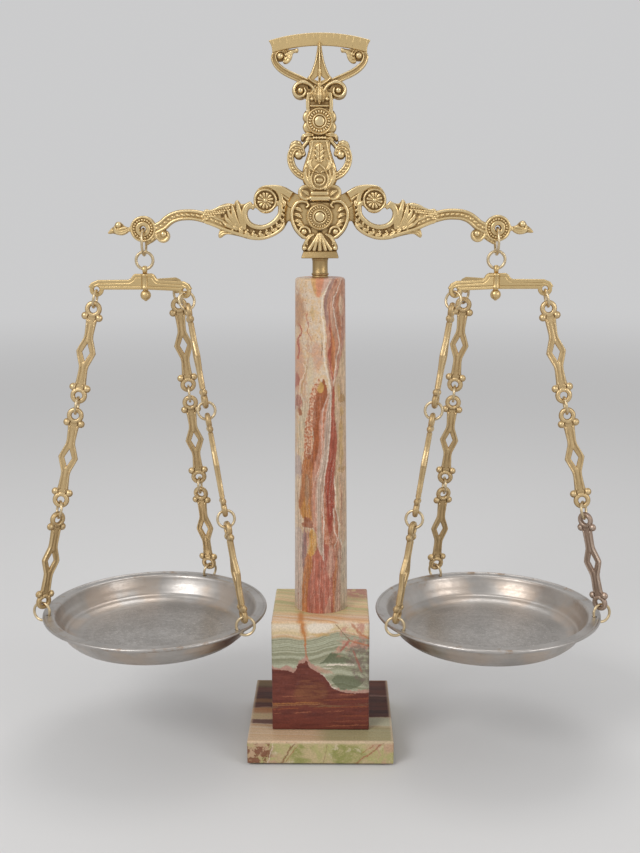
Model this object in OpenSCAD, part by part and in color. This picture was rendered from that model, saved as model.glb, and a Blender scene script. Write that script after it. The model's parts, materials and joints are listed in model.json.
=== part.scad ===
// Balance scale: an onyx pillar, a cast brass head and beam, and two pans hung on chains.
// Sizes are millimetres. The origin is the centre of the resting face, +Z is up and -Y is the front.

/* [Stand] */
// Width and depth of the base slab
slab_w = 120; // [100:1:140]
// Height of the slab's top above the table, with the felt under it
slab_top = 21.5; // [16:0.5:30]
// Thickness of the felt pad
felt_t = 1.5; // [1:0.1:3]
// Width and depth of the plinth block
block_w = 80.5; // [70:0.5:84]
// Height of the plinth block
block_h = 95.7; // [85:0.1:105]
// Radius of the column at its foot
column_foot_r = 22.3; // [18:0.1:26]
// Radius of the column at its top
column_top_r = 20.1; // [16:0.1:24]
// Height of the column
column_h = 276.8; // [270:0.2:290]
// Radius of the brass post between column and head
post_r = 6.2; // [5:0.1:8]
// Height of the brass post that shows
post_h = 15.5; // [12:0.5:20]

/* [Head] */
// Height of the beam's pivot above the underside of the head
pivot_rise = 32.3; // [31:0.1:34]
// Space between the two halves of the head, where the beam swings
head_gap = 6; // [5.6:0.1:7]
// Thickness of each half behind its relief
half_t = 5; // [4:0.1:6]
// Radius of the pivot pin
pivot_pin_r = 2.5; // [2:0.1:3]
// Radius of the centre rosettes
rosette_r = 9.5; // [8:0.1:10]

/* [Beam] */
// Distance from the pivot to each hanging eye
arm_l = 141; // [141:0.5:144]
// Thickness of the cast arms
arm_t = 9; // [7:0.5:10]
// Radius of the eye discs at the ends
eye_r = 10.3; // [9:0.1:11]
// Radius of the hole in each eye
eye_hole_r = 2.3; // [2.2:0.1:2.6]

/* [Index] */
// Inner radius of the arc, from the pivot
arc_inner_r = 130; // [129:0.5:131]
// Width of the arc
arc_w = 9.5; // [8:0.5:11]
// Angle from the middle of the arc to each end
arc_half_angle = 16.3; // [15:0.1:17]
// Number of engraved divisions each side of the middle
arc_divisions = 7; // [4:1:7]

/* [Hangers] */
// Middle radius of the hook ring in each eye
hook_ring_r = 10.4; // [10:0.1:12]
// Middle radius of the suspension ring
hang_ring_r = 6.8; // [6.5:0.05:7]
// Radius of the ball at the stem's end
ball_r = 4.25; // [4:0.05:5]
// Thickness of the yoke's plates
yoke_t = 2.4; // [2:0.1:3]
// Height of the holes that the chains hang from
lug_z = 384.6; // [383:0.1:386]

/* [Chains] */
// Thickness of a flat link
link_t = 3.2; // [2.6:0.1:3.6]
// Radius of the wire of the rings
wire_r = 1.1; // [0.9:0.1:1.2]
// Middle radius of the chain rings
ring_r = 6.9; // [6.5:0.1:7.2]
// Middle radius of the rings in the pan's rim
rim_ring_r = 7.4; // [7:0.1:8]

/* [Pans] */
// Radius of the pan over its rolled rim
pan_r = 94.5; // [90:0.5:94.5]
// Height of the top of the rim
pan_top_z = 115; // [113:0.5:117]
// Depth of the pan inside
pan_depth = 23; // [18:0.5:26]
// Thickness of the spun sheet
pan_t = 1.4; // [1:0.1:2]

/* [Hidden] */
$fn = 48;
brass = "#c9ab6d";
dark_brass = "#a98a52";
pale_brass = "#d8ccb4";
link_brass = "#bd9a60";
pan_metal = "#9b9792";
onyx_red = "#a9604b";
onyx_cream = "#d9c7a2";

block_top = slab_top + block_h;
column_top = block_top + column_h;
head_z = column_top + post_h;
pivot_z = head_z + pivot_rise;
half_z = head_gap / 2;
face_z = half_z + half_t;
running = 0.05;
gap = 0.3;

// Tie rod, its washer and its nut, in a counterbore under the slab
rod_r = 3;
rod_bore_r = 3.5;
counterbore_r = 10;
counterbore_top = 9.5;
washer_t = 1.5;
nut_t = 5;
rod_low = 2.6;
rod_top = column_top + 9;

// Screws through the head, and the sleeves that hold its halves apart
screw_r = 1.45;
screw_bore_r = 1.5;
sleeve_r = 2.1;
foot_screw = [8.6, -21.8];
urn_screw = [7.4, 33.2];
volute_screw = [14.5, 96.5];
screw_head_r = 2.6;
screw_head_h = 1.6;
volute_proud = 1.1;
urn_proud = 1;
upper_y = 72.7;
plate_back = 0.2;
stem_front = 2.6;
stem_back = 0.6;

// Hanging parts of the left side, counted from its eye downwards
eye = [-arm_l, -9.3];
eye_z = pivot_z + eye[1];
hook_top = eye_z + 0.2;
hook_z = hook_top - hook_ring_r;
hook_low = hook_z - hook_ring_r;
hang_wire_r = 1.2;
hang_z = hook_low + wire_r + hang_wire_r + gap - hang_ring_r;
hang_low = hang_z - hang_ring_r;
stem_r = 2;
stem_eye_r = 2.1;
stem_eye_z = hang_low + hang_wire_r + 0.45 - stem_eye_r;
yoke_low = lug_z - 0.1;
hub_r = 3.4;
hub_h = 12.5;
ball_z = yoke_low - gap - ball_r;

// Chains of the left side: outer, front and back, as seen from the stem
CHAINS = ["outer", "front", "back"];
LUGS = [[-39.5, 0], [34.5, -19], [20.5, 33]];
RIM_ANGLES = [193, -34, 69];
RIM_RING_TURNS = [162, 0, 50];
LINK_TURNS = [[90, 94, 137], [15, 10, 22], [102, 95, 75]];
RING_TURNS = [[90, 92, 116], [38, 12, 16], [124, 98, 86]];
LINKS = [1, 2, 3];
lug_hole_r = 2.3;
link_hole_r = 3;
link_eye_r = 6.7;
rim_hole_r = 2.1;
rim_hole_at = pan_r - 5.3;
rim_ring_rise = 3.5;
rim_ring_out = sqrt(rim_ring_r * rim_ring_r - rim_ring_rise * rim_ring_rise);
slack = 0.4;
hold = link_hole_r - wire_r - slack;
lug_hold = lug_hole_r - wire_r - slack;
rings_between = lug_hold + 3 * 2 * ring_r + 6 * hold + rim_ring_r;

// Outlines in the plane of the head, x to the side and y up from the pivot
SHIELD = [[0, 12], [9, 12.5], [15, 12], [19.5, 9.6], [22.6, 5.5], [23.5, 1], [22.6, -4], [20.6, -8.5],
    [17.6, -12.5], [14.2, -15.6], [11, -17], [0, -17]];
FOOT = [[0, -16], [11, -16.5], [11.4, -20], [13.4, -22.8], [13.8, -25], [13, -26.8], [0, -26.8]];
URN = [[0, 19], [7, 20.4], [11, 23.4], [13.3, 28], [13.7, 33], [12.6, 38.5], [10.9, 43.5], [9.3, 48.5],
    [8.2, 53], [8.2, 60], [0, 60]];
HANDLE = [[12.2, 31], [17, 33.6], [21, 38.6], [22.6, 45], [21.2, 51], [17.4, 53.8], [14, 52.4], [13.1, 49]];
LEAF_COLLAR = [[0, 57], [8, 57.4], [11.5, 58.2], [14.2, 59.6], [14, 62], [11.6, 63.3], [8, 62.6], [0, 64]];
SIDE_LOBE = [[0, 62], [9, 63.6], [12, 67], [12.8, 71], [12.6, 75], [11.2, 78.8], [9.4, 81], [0, 81]];
NECK = [[0, 79], [9.4, 79], [10.3, 83], [10.4, 88], [9.6, 93], [8, 97], [0, 99]];
VOLUTE_BAND = [[17.5, 101.4], [12.5, 102.4], [7, 100], [2.5, 95]];
LYRE_ARM = [[5, 100.4], [12, 103.8], [18, 106.5], [24, 109.2], [29.5, 112.2], [34, 116.6], [35.8, 121],
    [33.8, 125], [30, 126.2], [27.2, 124]];
LYRE_LEAF = [[28, 127], [22, 127.2], [16.8, 128], [17, 125.2], [20.4, 124.6], [22, 120], [25.2, 117],
    [28.4, 118]];
POINTER_SIDE = [[1.6, 99], [3, 100.5], [8.5, 104.6], [6.6, 108.2], [4.6, 113.2], [3, 118.2], [2.2, 123.2],
    [1.4, 129.2]];

// Outlines of the right arm in the same plane
ARM_BAND = [[133, -12], [128, -8.6], [124.4, -5], [120, -1.4], [114.5, 0.6], [107, 1.2], [99, 1],
    [91, -0.6], [84, -2.8], [76, -5.5]];
LEAF_MASS = [[94, 3.6], [91, 6.6], [84.5, 7.4], [80, 9.6], [71, 10.6], [67.6, 12.4], [64, 10.2], [60.5, 9.2],
    [59, 3], [56.6, -3.6], [50, -6], [48, -16.8], [60, -15.8], [70, -13.8], [78, -13.2], [82.6, -15.6],
    [81, -9.6], [88, -6]];
SCROLL_OUTER = [[24, 0], [27.6, -5.2], [31.5, -10.4], [37, -14.4], [43, -16.8], [49.5, -17], [56, -16],
    [58, -5], [53.6, 8], [52.4, 15], [49.4, 20.4], [44, 23.4], [37.5, 24.2], [31.5, 23.2], [27, 20.8],
    [24, 19]];
SCROLL_HOLE = [[59, 4.6], [58.4, -1], [54, -5.2], [47, -6.4], [40.4, -5], [35.8, -0.4], [34.4, 5.4],
    [35.2, 10], [40, 13], [50, 13], [54, 9.6], [57, 8]];
HOOK_BAND = [[63.5, 8.6], [60, 10.2], [56.4, 10.6], [53, 9]];
BEAM_CENTRE = [[0, 9.5], [8, 10.4], [14, 14], [20, 17.4], [27, 19.4], [27, -3], [20, -4.4], [12, -8],
    [0, -10]];
FINIAL = [[150.5, -9.6], [154, -9.6], [156.6, -6.9], [158.6, -6.2], [161, -8.4], [166, -12.8], [168, -14.8],
    [166.4, -15.8], [160, -15.2], [154, -15.6], [150.5, -14]];
SCROLL_EYES = [[16, 6.7, 5], [13.3, -11.3, 3.8], [16.6, 48.9, 3.4], [volute_screw[0], volute_screw[1], 4.6]];
MASK = [[0, 86], [3, 87.4], [6, 91.4], [5, 96], [0, 98.4]];
FOOT_LEAF = [[0, -26.8], [3.6, -26.8], [5.4, -20], [3.6, -12], [0, -10.6]];
RIB = [[-0.7, 107], [0.7, 107], [0.5, 130], [0, 132], [-0.5, 130]];
daisy = [44.5, 13.2];
daisy_r = 9.5;

// A smooth curve through points, closed where loop is true
function at(p, i, loop) = loop ? p[(i + len(p)) % len(p)] : p[max(0, min(len(p) - 1, i))];
function bend(a, b, c, d, t) = 0.5 * (2 * b + (c - a) * t + (2 * a - 5 * b + 4 * c - d) * t * t
    + (3 * b - a - 3 * c + d) * t * t * t);
function curve(p, loop = false, steps = 4) = [
    for (i = [0 : len(p) - (loop ? 1 : 2)]) for (k = [0 : steps - 1])
        bend(at(p, i - 1, loop), at(p, i, loop), at(p, i + 1, loop), at(p, i + 2, loop), k / steps),
    if (!loop) p[len(p) - 1]];
function heading(c, i) = let (d = c[min(i + 1, len(c) - 1)] - c[max(i - 1, 0)]) d / norm(d);
function left_of(v) = [-v[1], v[0]];

// A strip that follows a curve, w0 wide at its start and w1 at its end
module ribbon(p, w0, w1) {
    c = curve(p);
    n = len(c) - 1;
    near = [for (i = [0 : n]) c[i] + left_of(heading(c, i)) * (w0 + (w1 - w0) * i / n) / 2];
    far = [for (i = [n : -1 : 0]) c[i] - left_of(heading(c, i)) * (w0 + (w1 - w0) * i / n) / 2];
    polygon(concat(near, far));
}

// One half of a symmetric outline and its mirror image
module both_sides() {
    children();
    mirror([1, 0, 0]) children();
}

// Turns a flat outline upright: x stays, y goes up from the pivot and z points to the front
module upright() {
    translate([0, 0, pivot_z]) rotate([90, 0, 0]) children();
}

module slice(low, high) {
    translate([0, 0, low]) linear_extrude(high - low) children();
}

// A square block whose edges are rounded along all three directions
module soft_block(w, h, r) {
    intersection() {
        linear_extrude(h) soft_rect(w, w, r);
        translate([0, w / 2, h / 2]) rotate([90, 0, 0]) linear_extrude(w) soft_rect(w, h, r);
        translate([-w / 2, 0, h / 2]) rotate([90, 0, 90]) linear_extrude(w) soft_rect(w, h, r);
    }
}

module soft_rect(w, h, r) {
    square([w - 2 * r, h], center = true);
    square([w, h - 2 * r], center = true);
    for (x = [-1, 1]) for (y = [-1, 1]) translate([x * (w / 2 - r), y * (h / 2 - r)]) circle(r);
}

// A wire ring whose axis is x
module wire_ring(middle_r, r) {
    rotate([0, 90, 0]) rotate_extrude() translate([middle_r, 0]) circle(r, $fn = 24);
}

module base_felt() {
    inset = 4;
    color("#3c3a36") difference() {
        linear_extrude(felt_t) soft_rect(slab_w - 2 * inset, slab_w - 2 * inset, 3);
        translate([0, 0, -1]) cylinder(r = counterbore_r, h = felt_t + 2);
    }
}

module base_slab() {
    color(onyx_cream) difference() {
        translate([0, 0, felt_t]) soft_block(slab_w, slab_top - felt_t, 1.5);
        translate([0, 0, -1]) cylinder(r = counterbore_r, h = counterbore_top + 1);
        cylinder(r = rod_bore_r, h = slab_top + 1);
    }
}

module plinth_block() {
    color(onyx_red) difference() {
        translate([0, 0, slab_top]) soft_block(block_w, block_h, 2);
        translate([0, 0, slab_top - 1]) cylinder(r = rod_bore_r, h = block_h + 2);
    }
}

module column() {
    edge = 2.5;
    color(onyx_red) translate([0, 0, block_top]) rotate_extrude($fn = 96) {
        polygon([[rod_bore_r, 0], [column_foot_r, 0], [column_top_r, column_h - edge],
            [column_top_r - edge, column_h], [rod_bore_r, column_h]]);
        translate([column_top_r - edge, column_h - edge]) circle(edge);
    }
}

module tie_rod() {
    color("#8f8f92") translate([0, 0, rod_low]) cylinder(r = rod_r, h = rod_top - rod_low);
}

module tie_washer() {
    color("#8f8f92") translate([0, 0, counterbore_top - washer_t]) difference() {
        cylinder(r = 8, h = washer_t);
        translate([0, 0, -1]) cylinder(r = rod_r + 0.3, h = washer_t + 2);
    }
}

module tie_nut() {
    color("#8f8f92") translate([0, 0, counterbore_top - washer_t - nut_t]) difference() {
        cylinder(r = 5.8, h = nut_t, $fn = 6);
        translate([0, 0, -1]) cylinder(r = rod_r + running, h = nut_t + 2);
    }
}

// The post stands on the column, is screwed down by the tie rod and ends in a spigot for the foot plate
spigot_r = 4;
spigot_h = 4.6;
module neck_post() {
    collar_r = post_r + 0.8;
    color(brass) translate([0, 0, column_top]) difference() {
        rotate_extrude() polygon([[0, 0], [post_r, 0], [post_r, 1.6], [collar_r, 2], [collar_r, 3.2],
            [post_r, 3.6], [post_r, post_h], [spigot_r, post_h], [spigot_r, post_h + spigot_h],
            [0, post_h + spigot_h]]);
        translate([0, 0, -1]) cylinder(r = rod_r + running, h = 11);
    }
}

module trapezoid(low_half, high_half, h) {
    polygon([[-low_half, 0], [low_half, 0], [high_half, h], [-high_half, h]]);
}

// The plate under the head, with an upright tongue that fills the gap between the two halves
module foot_plate() {
    plate_h = 5.5;
    tongue_top = 15;
    depth = 2 * face_z + 5;
    color(brass) translate([0, 0, head_z]) difference() {
        union() {
            intersection() {
                rotate([90, 0, 0]) linear_extrude(depth, center = true) trapezoid(15, 13.2, plate_h);
                rotate([90, 0, 90]) linear_extrude(32, center = true)
                    trapezoid(depth / 2, depth / 2 - 1.8, plate_h);
            }
            translate([-11.4, -half_z, plate_h - 1]) cube([22.8, head_gap, tongue_top - plate_h + 1]);
        }
        translate([0, 0, -1]) cylinder(r = spigot_r + running, h = spigot_h + 1.4);
        for (x = [-1, 1]) translate([x * foot_screw[0], 0, pivot_rise + foot_screw[1]])
            rotate([90, 0, 0]) cylinder(r = screw_bore_r, h = depth, center = true);
    }
}

// The outline that both halves of the head share
module half_outline() {
    both_sides() {
        polygon(curve(SHIELD));
        polygon(FOOT);
        polygon(curve(URN));
        ribbon(HANDLE, 6, 4.4);
        translate([16.6, 48.9]) circle(4);
        polygon(LEAF_COLLAR);
        polygon(curve(SIDE_LOBE));
        polygon(NECK);
        translate([10.8, 18.6]) circle(6.2);
    }
    translate([-7, 11]) square([14, 10]);
}

module volute_pair() {
    both_sides() {
        translate([volute_screw[0], volute_screw[1]]) circle(6.3);
        ribbon(VOLUTE_BAND, 4.4, 4);
    }
}

// What stands proud of one half: scrolls and their balls, collar rings, urn belly and mask
module half_relief() {
    both_sides() {
        for (v = SCROLL_EYES) {
            translate([v[0], v[1], face_z - 0.5])
                cylinder(r1 = v[2], r2 = v[2] - 0.8, h = 0.5 + volute_proud);
            translate([v[0], v[1], face_z + 1]) sphere(v[2] * 0.42);
        }
        translate([10.8, 18.6, face_z - 0.6]) cylinder(r1 = 4.6, r2 = 3.6, h = 1.8);
        slice(face_z - 0.5, face_z + 0.8) ribbon(HANDLE, 3.4, 2.6);
    }
    slice(face_z - 0.5, face_z + urn_proud) difference() {
        both_sides() polygon(curve([for (p = URN) [max(0, p[0] - 2.6), p[1]]]));
        translate([-20, 56]) square([40, 10]);
    }
    for (y = [12.6, 15.4, 18.4]) translate([-6.4, y, face_z - 0.5]) cube([12.8, 1.7, 1.7]);
    slice(face_z - 0.5, face_z + 1.4) both_sides() polygon(curve(MASK));
    slice(face_z - 0.5, face_z + 1.2) both_sides() polygon(FOOT_LEAF);
}

// One half of the head, whole on its own side of the gap
module head_half(is_back) {
    difference() {
        union() {
            slice(half_z, face_z) half_outline();
            slice(half_z, face_z - 0.4) volute_pair();
            half_relief();
            translate([0, upper_y, face_z - 0.5]) cylinder(r = 10.4, h = 0.9);
        }
        translate([0, 0, half_z - 1]) cylinder(r = 4 + running, h = 9);
        for (x = [-1, 1]) for (s = [foot_screw, urn_screw, volute_screw])
            translate([x * s[0], s[1], half_z - 1]) cylinder(r = screw_bore_r, h = is_back ? 20 : 5);
        if (is_back) both_sides() translate([volute_screw[0], volute_screw[1], face_z + volute_proud])
            cylinder(r = screw_head_r + 0.2, h = 5);
        else translate([0, upper_y, half_z + 1]) cylinder(r = 2 + running, h = 9);
    }
}

module head_front() {
    color(brass) upright() head_half(false);
}

module head_back() {
    color(brass) upright() mirror([0, 0, 1]) head_half(true);
}

// A round boss of rings and beads, cast with a spigot for its hole
module rosette(r, spigot) {
    rotate_extrude() polygon([[0, 0], [r, 0], [r, 1.8], [r * 0.95, 2.4], [r * 0.86, 2.4], [r * 0.82, 1.4],
        [r * 0.6, 1.4], [r * 0.56, 2.6], [r * 0.44, 2.6], [r * 0.4, 2], [r * 0.36, 3], [r * 0.2, 3.6],
        [0, 3.8]]);
    for (k = [0 : 19]) rotate(k * 18) translate([r * 0.71, 0, 1.4]) sphere(r * 0.085, $fn = 16);
    translate([0, 0, -1.3]) cylinder(r = spigot, h = 1.4);
}

module rosette_front() {
    color(brass) upright() translate([0, 0, face_z + 0.02]) rosette(rosette_r, 3.9);
}

module rosette_back() {
    color(brass) upright() mirror([0, 0, 1]) translate([0, 0, face_z + 0.02]) rosette(rosette_r, 3.9);
}

module rosette_upper() {
    color(brass) upright() translate([0, upper_y, face_z + 0.42]) rosette(10.2, 1.9);
}

module bush() {
    translate([0, 0, half_z + 0.2]) difference() {
        cylinder(r = 4, h = 3.2);
        translate([0, 0, -1]) cylinder(r = pivot_pin_r + running, h = 6);
    }
}

module bush_front() {
    color(dark_brass) upright() bush();
}

module bush_back() {
    color(dark_brass) upright() mirror([0, 0, 1]) bush();
}

module spacer_sleeves() {
    color(dark_brass) upright() for (x = [-1, 1]) {
        translate([x * urn_screw[0], urn_screw[1], -half_z]) sleeve(head_gap);
        translate([x * volute_screw[0], volute_screw[1], -plate_back]) sleeve(half_z + plate_back);
    }
}

module sleeve(length) {
    difference() {
        cylinder(r = sleeve_r, h = length);
        translate([0, 0, -1]) cylinder(r = screw_bore_r, h = length + 2);
    }
}

module head_screws() {
    screws = [[foot_screw, 0], [urn_screw, urn_proud], [volute_screw, volute_proud]];
    color(dark_brass) upright() for (x = [-1, 1]) for (s = screws)
        translate([x * s[0][0], s[0][1], -face_z - s[1]]) {
            cylinder(r = screw_r, h = face_z + s[1] + half_z + 3.6);
            translate([0, 0, -screw_head_h])
                cylinder(r1 = screw_head_r - 0.5, r2 = screw_head_r, h = screw_head_h);
        }
}

// Arms of the lyre, which end under the arc
module lyre_arms() {
    intersection() {
        both_sides() {
            ribbon(LYRE_ARM, 5.4, 3.4);
            translate([30.6, 121.6]) circle(3.9);
            polygon(LYRE_LEAF);
        }
        circle(arc_inner_r - 0.1, $fn = 180);
    }
}

// The lyre is a plate that lies on the back half's inner face, with two arms that rise out of the head
module lyre_frame() {
    clear_of_head = 105;
    color(brass) upright() difference() {
        union() {
            slice(-half_z, -plate_back) {
                both_sides() {
                    polygon([[0, 84], [8, 84], [9, 90], [14, 91], [14, 102], [8, 103], [0, 100]]);
                    translate([volute_screw[0], volute_screw[1]]) circle(5.6);
                }
                lyre_arms();
            }
            slice(-half_z - 2, -half_z + 0.5) intersection() {
                lyre_arms();
                translate([-50, clear_of_head]) square([100, 40]);
            }
            slice(-half_z - 2, -half_z) both_sides() ribbon([[31, 123], [31.6, 127], [32.4, 132]], 5, 4);
            both_sides() translate([30.6, 121.6, 0]) sphere(2);
        }
        for (x = [-1, 1]) {
            translate([x * volute_screw[0], volute_screw[1], -half_z - 5]) cylinder(r = screw_bore_r, h = 10);
            rotate(x * -rivet_angle) translate([0, rivet_at, -half_z - 5]) cylinder(r = 1.05, h = 10);
        }
    }
}

// Index arc about the pivot, with engraved divisions on its front
arc_back = half_z - 0.02;
arc_front = 0.4;
rivet_angle = 14;
rivet_at = arc_inner_r + 2;
module index_arc() {
    outer = arc_inner_r + arc_w;
    step = arc_half_angle * 2 / (2 * arc_divisions + 1);
    color(brass) upright() difference() {
        slice(-arc_back, -arc_front) intersection() {
            difference() {
                circle(outer, $fn = 180);
                circle(arc_inner_r, $fn = 180);
            }
            both_sides() polygon([[0, 0], [0, 200], [200 * tan(arc_half_angle), 200]]);
        }
        for (k = [-arc_divisions : arc_divisions]) rotate(k * step) {
            tick_l = k % 5 == 0 ? 3.8 : 2.2;
            translate([-0.2, outer - 0.8 - tick_l, -arc_front - 0.3]) cube([0.4, tick_l, 1]);
        }
        for (x = [-1, 1]) rotate(x * -rivet_angle) translate([0, rivet_at, -arc_back - 1])
            cylinder(r = 1.05, h = 2.2);
    }
}

module arc_rivets() {
    color(dark_brass) upright() for (x = [-1, 1]) rotate(x * -rivet_angle) translate([0, rivet_at, 0]) {
        translate([0, 0, -half_z - 2]) cylinder(r = 1, h = 3.1);
        translate([0, 0, -half_z - 3]) cylinder(r1 = 1.2, r2 = 1.8, h = 1);
    }
}

// The beam: a thin centre plate that swings inside the head, and two thick ornate arms
module beam() {
    half = arm_t / 2;
    color(brass) upright() difference() {
        union() {
            slice(-stem_front, stem_back) both_sides() polygon(BEAM_CENTRE);
            slice(-stem_front, stem_back) circle(9.6);
            both_sides() arm(half);
        }
        translate([0, 0, -10]) cylinder(r = pivot_pin_r, h = 20);
        for (y = [11, 15.6]) translate([0, y, -10]) cylinder(r = 1.05, h = 20);
        for (x = [-1, 1]) translate([x * arm_l, eye[1], -10]) cylinder(r = eye_hole_r, h = 20);
    }
}

module arm(half) {
    slice(-half + 1, half - 1) {
        ribbon(ARM_BAND, 8, 8.4);
        ribbon(HOOK_BAND, 3, 4);
        polygon(curve(FINIAL, true, 3));
        translate([136, -19.2]) circle(3.4);
    }
    slice(-half, half) difference() {
        union() {
            polygon(curve(LEAF_MASS, true, 3));
            polygon(curve(SCROLL_OUTER, true, 3));
        }
        polygon(curve(SCROLL_HOLE, true, 3));
    }
    for (z = [-1, 1]) {
        translate([0, 0, z > 0 ? half - 1.2 : -half]) linear_extrude(1.2) difference() {
            ribbon(ARM_BAND, 8, 8.4);
            ribbon(ARM_BAND, 5, 5.4);
        }
        translate([daisy[0], daisy[1], z * (half - 0.6)]) for (k = [0 : 9]) rotate(k * 36)
            translate([4.6, 0, 0]) sphere(1.5, $fn = 16);
        translate([daisy[0], daisy[1], z * (half - 0.6)]) sphere(2, $fn = 16);
        translate([126, -14.2, z * (half - 1)]) sphere(2.4, $fn = 24);
    }
    translate([daisy[0], daisy[1], -half - 0.3]) ring_disc(daisy_r, 2 * half + 0.6, 2);
    translate([126, -14.2, 1 - half]) cylinder(r = 5.6, h = 2 * half - 2);
    translate([arm_l, eye[1], 0.8 - half]) ring_disc(eye_r, 2 * half - 1.6, 1.2);
}

// A disc with a raised border on both faces
module ring_disc(r, h, border) {
    translate([0, 0, 0.7]) cylinder(r = r - border / 2, h = h - 1.4);
    difference() {
        cylinder(r = r, h = h);
        translate([0, 0, -1]) cylinder(r = r - border, h = h + 2);
    }
}

module pivot_pin() {
    color(pale_brass) upright() translate([0, 0, -half_z - 3.4])
        cylinder(r = pivot_pin_r, h = head_gap + 6.8);
}

// A lancet blade on a narrow stem, fixed to the front of the beam's centre plate
module pointer() {
    right = curve(POINTER_SIDE);
    left = [for (i = [len(right) - 1 : -1 : 0]) [-right[i][0], right[i][1]]];
    color(brass) upright() difference() {
        union() {
            slice(stem_back, stem_front) difference() {
                union() {
                    translate([-1.6, 12]) square([3.2, 88]);
                    polygon(concat(right, [[0, 133.2]], left));
                    translate([-3.4, 8.4]) square([6.8, 9.6]);
                }
                both_sides() polygon([[1, 103.4], [1, 107.4], [4.4, 104.6]]);
            }
            slice(stem_front - 0.5, stem_front + 0.7) polygon(RIB);
        }
        for (y = [11, 15.6]) translate([0, y, -10]) cylinder(r = 1.05, h = 20);
    }
}

module pointer_screws() {
    color(dark_brass) upright() for (y = [11, 15.6]) translate([0, y, 0])
        translate([0, 0, -stem_front]) cylinder(r = 1, h = 2 * stem_front);
}

module left_hub() {
    translate([-arm_l, 0, 0]) children();
}

module hook_ring() {
    color(pale_brass) left_hub() translate([0, 0, hook_z]) wire_ring(hook_ring_r, wire_r);
}

module suspension_ring() {
    color(pale_brass) left_hub() translate([0, 0, hang_z]) rotate(90) wire_ring(hang_ring_r, hang_wire_r);
}

module yoke_stem() {
    eye_t = 3.2;
    color(brass) left_hub() {
        difference() {
            union() {
                translate([-eye_t / 2, 0, stem_eye_z]) rotate([0, 90, 0]) cylinder(r = 3.1, h = eye_t);
                translate([0, 0, ball_z]) cylinder(r = stem_r, h = stem_eye_z - 2.6 - ball_z);
            }
            translate([-5, 0, stem_eye_z]) rotate([0, 90, 0]) cylinder(r = stem_eye_r, h = 10);
        }
        translate([0, 0, ball_z]) sphere(ball_r);
        translate([0, 0, ball_z - ball_r - 0.5]) cylinder(r = 1.2, h = 1.2);
    }
}

// Three upright plates round a hub, each with a lug that a chain hangs from
module yoke() {
    color(brass) left_hub() difference() {
        union() {
            translate([0, 0, yoke_low]) cylinder(r = hub_r, h = hub_h);
            for (lug = LUGS) rotate(atan2(lug[1], lug[0])) yoke_arm(norm(lug));
        }
        translate([0, 0, yoke_low - 1]) cylinder(r = stem_r + running, h = hub_h + 2);
    }
}

module yoke_arm(reach) {
    translate([0, yoke_t / 2, yoke_low]) rotate([90, 0, 0]) linear_extrude(yoke_t) difference() {
        union() {
            polygon([[0, 0], [reach + 2, 0], [reach + 6.6, 2], [reach + 4, 5.6], [reach - 1, 7.6],
                [13.5, 7.8], [11.5, 9], [9.5, 11.6], [8, hub_h], [0, hub_h]]);
            translate([reach, 0]) circle(5.6);
        }
        translate([reach, 0.1]) circle(lug_hole_r);
    }
}

// Profile of the spun sheet: floor, wall, step, lip and rolled edge
module pan() {
    floor_z = pan_top_z - pan_depth - pan_t;
    edge_r = 1.5;
    lip_z = pan_top_z - edge_r - pan_t / 2;
    inner = curve([[0, floor_z + pan_t + 1], [40, floor_z + pan_t + 0.3], [66, floor_z + pan_t + 1.4],
        [76, floor_z + 7.6], [82, lip_z - 5], [84, lip_z], [85.4, lip_z + pan_t]]);
    outer = curve([[84.6, lip_z - 0.4], [83, lip_z - 5.4], [77, floor_z + 6.4], [66.6, floor_z + 0.3],
        [40, floor_z], [0, floor_z]]);
    bead = [for (a = [150 : -30 : -150])
        [pan_r - edge_r + edge_r * cos(a), lip_z + pan_t / 2 + edge_r * sin(a)]];
    color(pan_metal) left_hub() difference() {
        rotate_extrude($fn = 120) polygon(concat(inner, bead, outer));
        for (a = RIM_ANGLES) rotate(a) translate([rim_hole_at, 0, lip_z - 3]) cylinder(r = rim_hole_r, h = 8);
    }
}

// Places along a chain, from its rim ring up to its lug, all worked out from the two ends
function unit(v) = v / norm(v);
function lip_mid() = pan_top_z - 1.5;
function turned(a) = [cos(a), sin(a), 0];
function rim_ring_at(c) = rim_hole_at * turned(RIM_ANGLES[c]) + rim_ring_out * turned(RIM_RING_TURNS[c])
    + [0, 0, lip_mid() + rim_ring_rise];
function lug_at(c) = [LUGS[c][0], LUGS[c][1], lug_z];
function span(c) = norm(lug_at(c) - rim_ring_at(c));
function along(c, d) = lug_at(c) + unit(rim_ring_at(c) - lug_at(c)) * d;
function link_l(c) = (span(c) - rings_between) / 3;
function link_top(c, k) = lug_hold + 2 * ring_r + hold + k * (link_l(c) + 2 * hold + 2 * ring_r);
function ring_mid(c, k) = k == 0 ? lug_hold + ring_r : link_top(c, k) - hold - ring_r;

// Stands a piece along its chain: its z lies on the chain and its y is turned to the given azimuth
module on_chain(c, d, azimuth) {
    z = unit(lug_at(c) - rim_ring_at(c));
    y = unit(turned(azimuth) - (turned(azimuth) * z) * z);
    x = cross(y, z);
    p = along(c, d);
    left_hub() multmatrix([[x[0], y[0], z[0], p[0]], [x[1], y[1], z[1], p[1]], [x[2], y[2], z[2], p[2]]])
        children();
}

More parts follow.
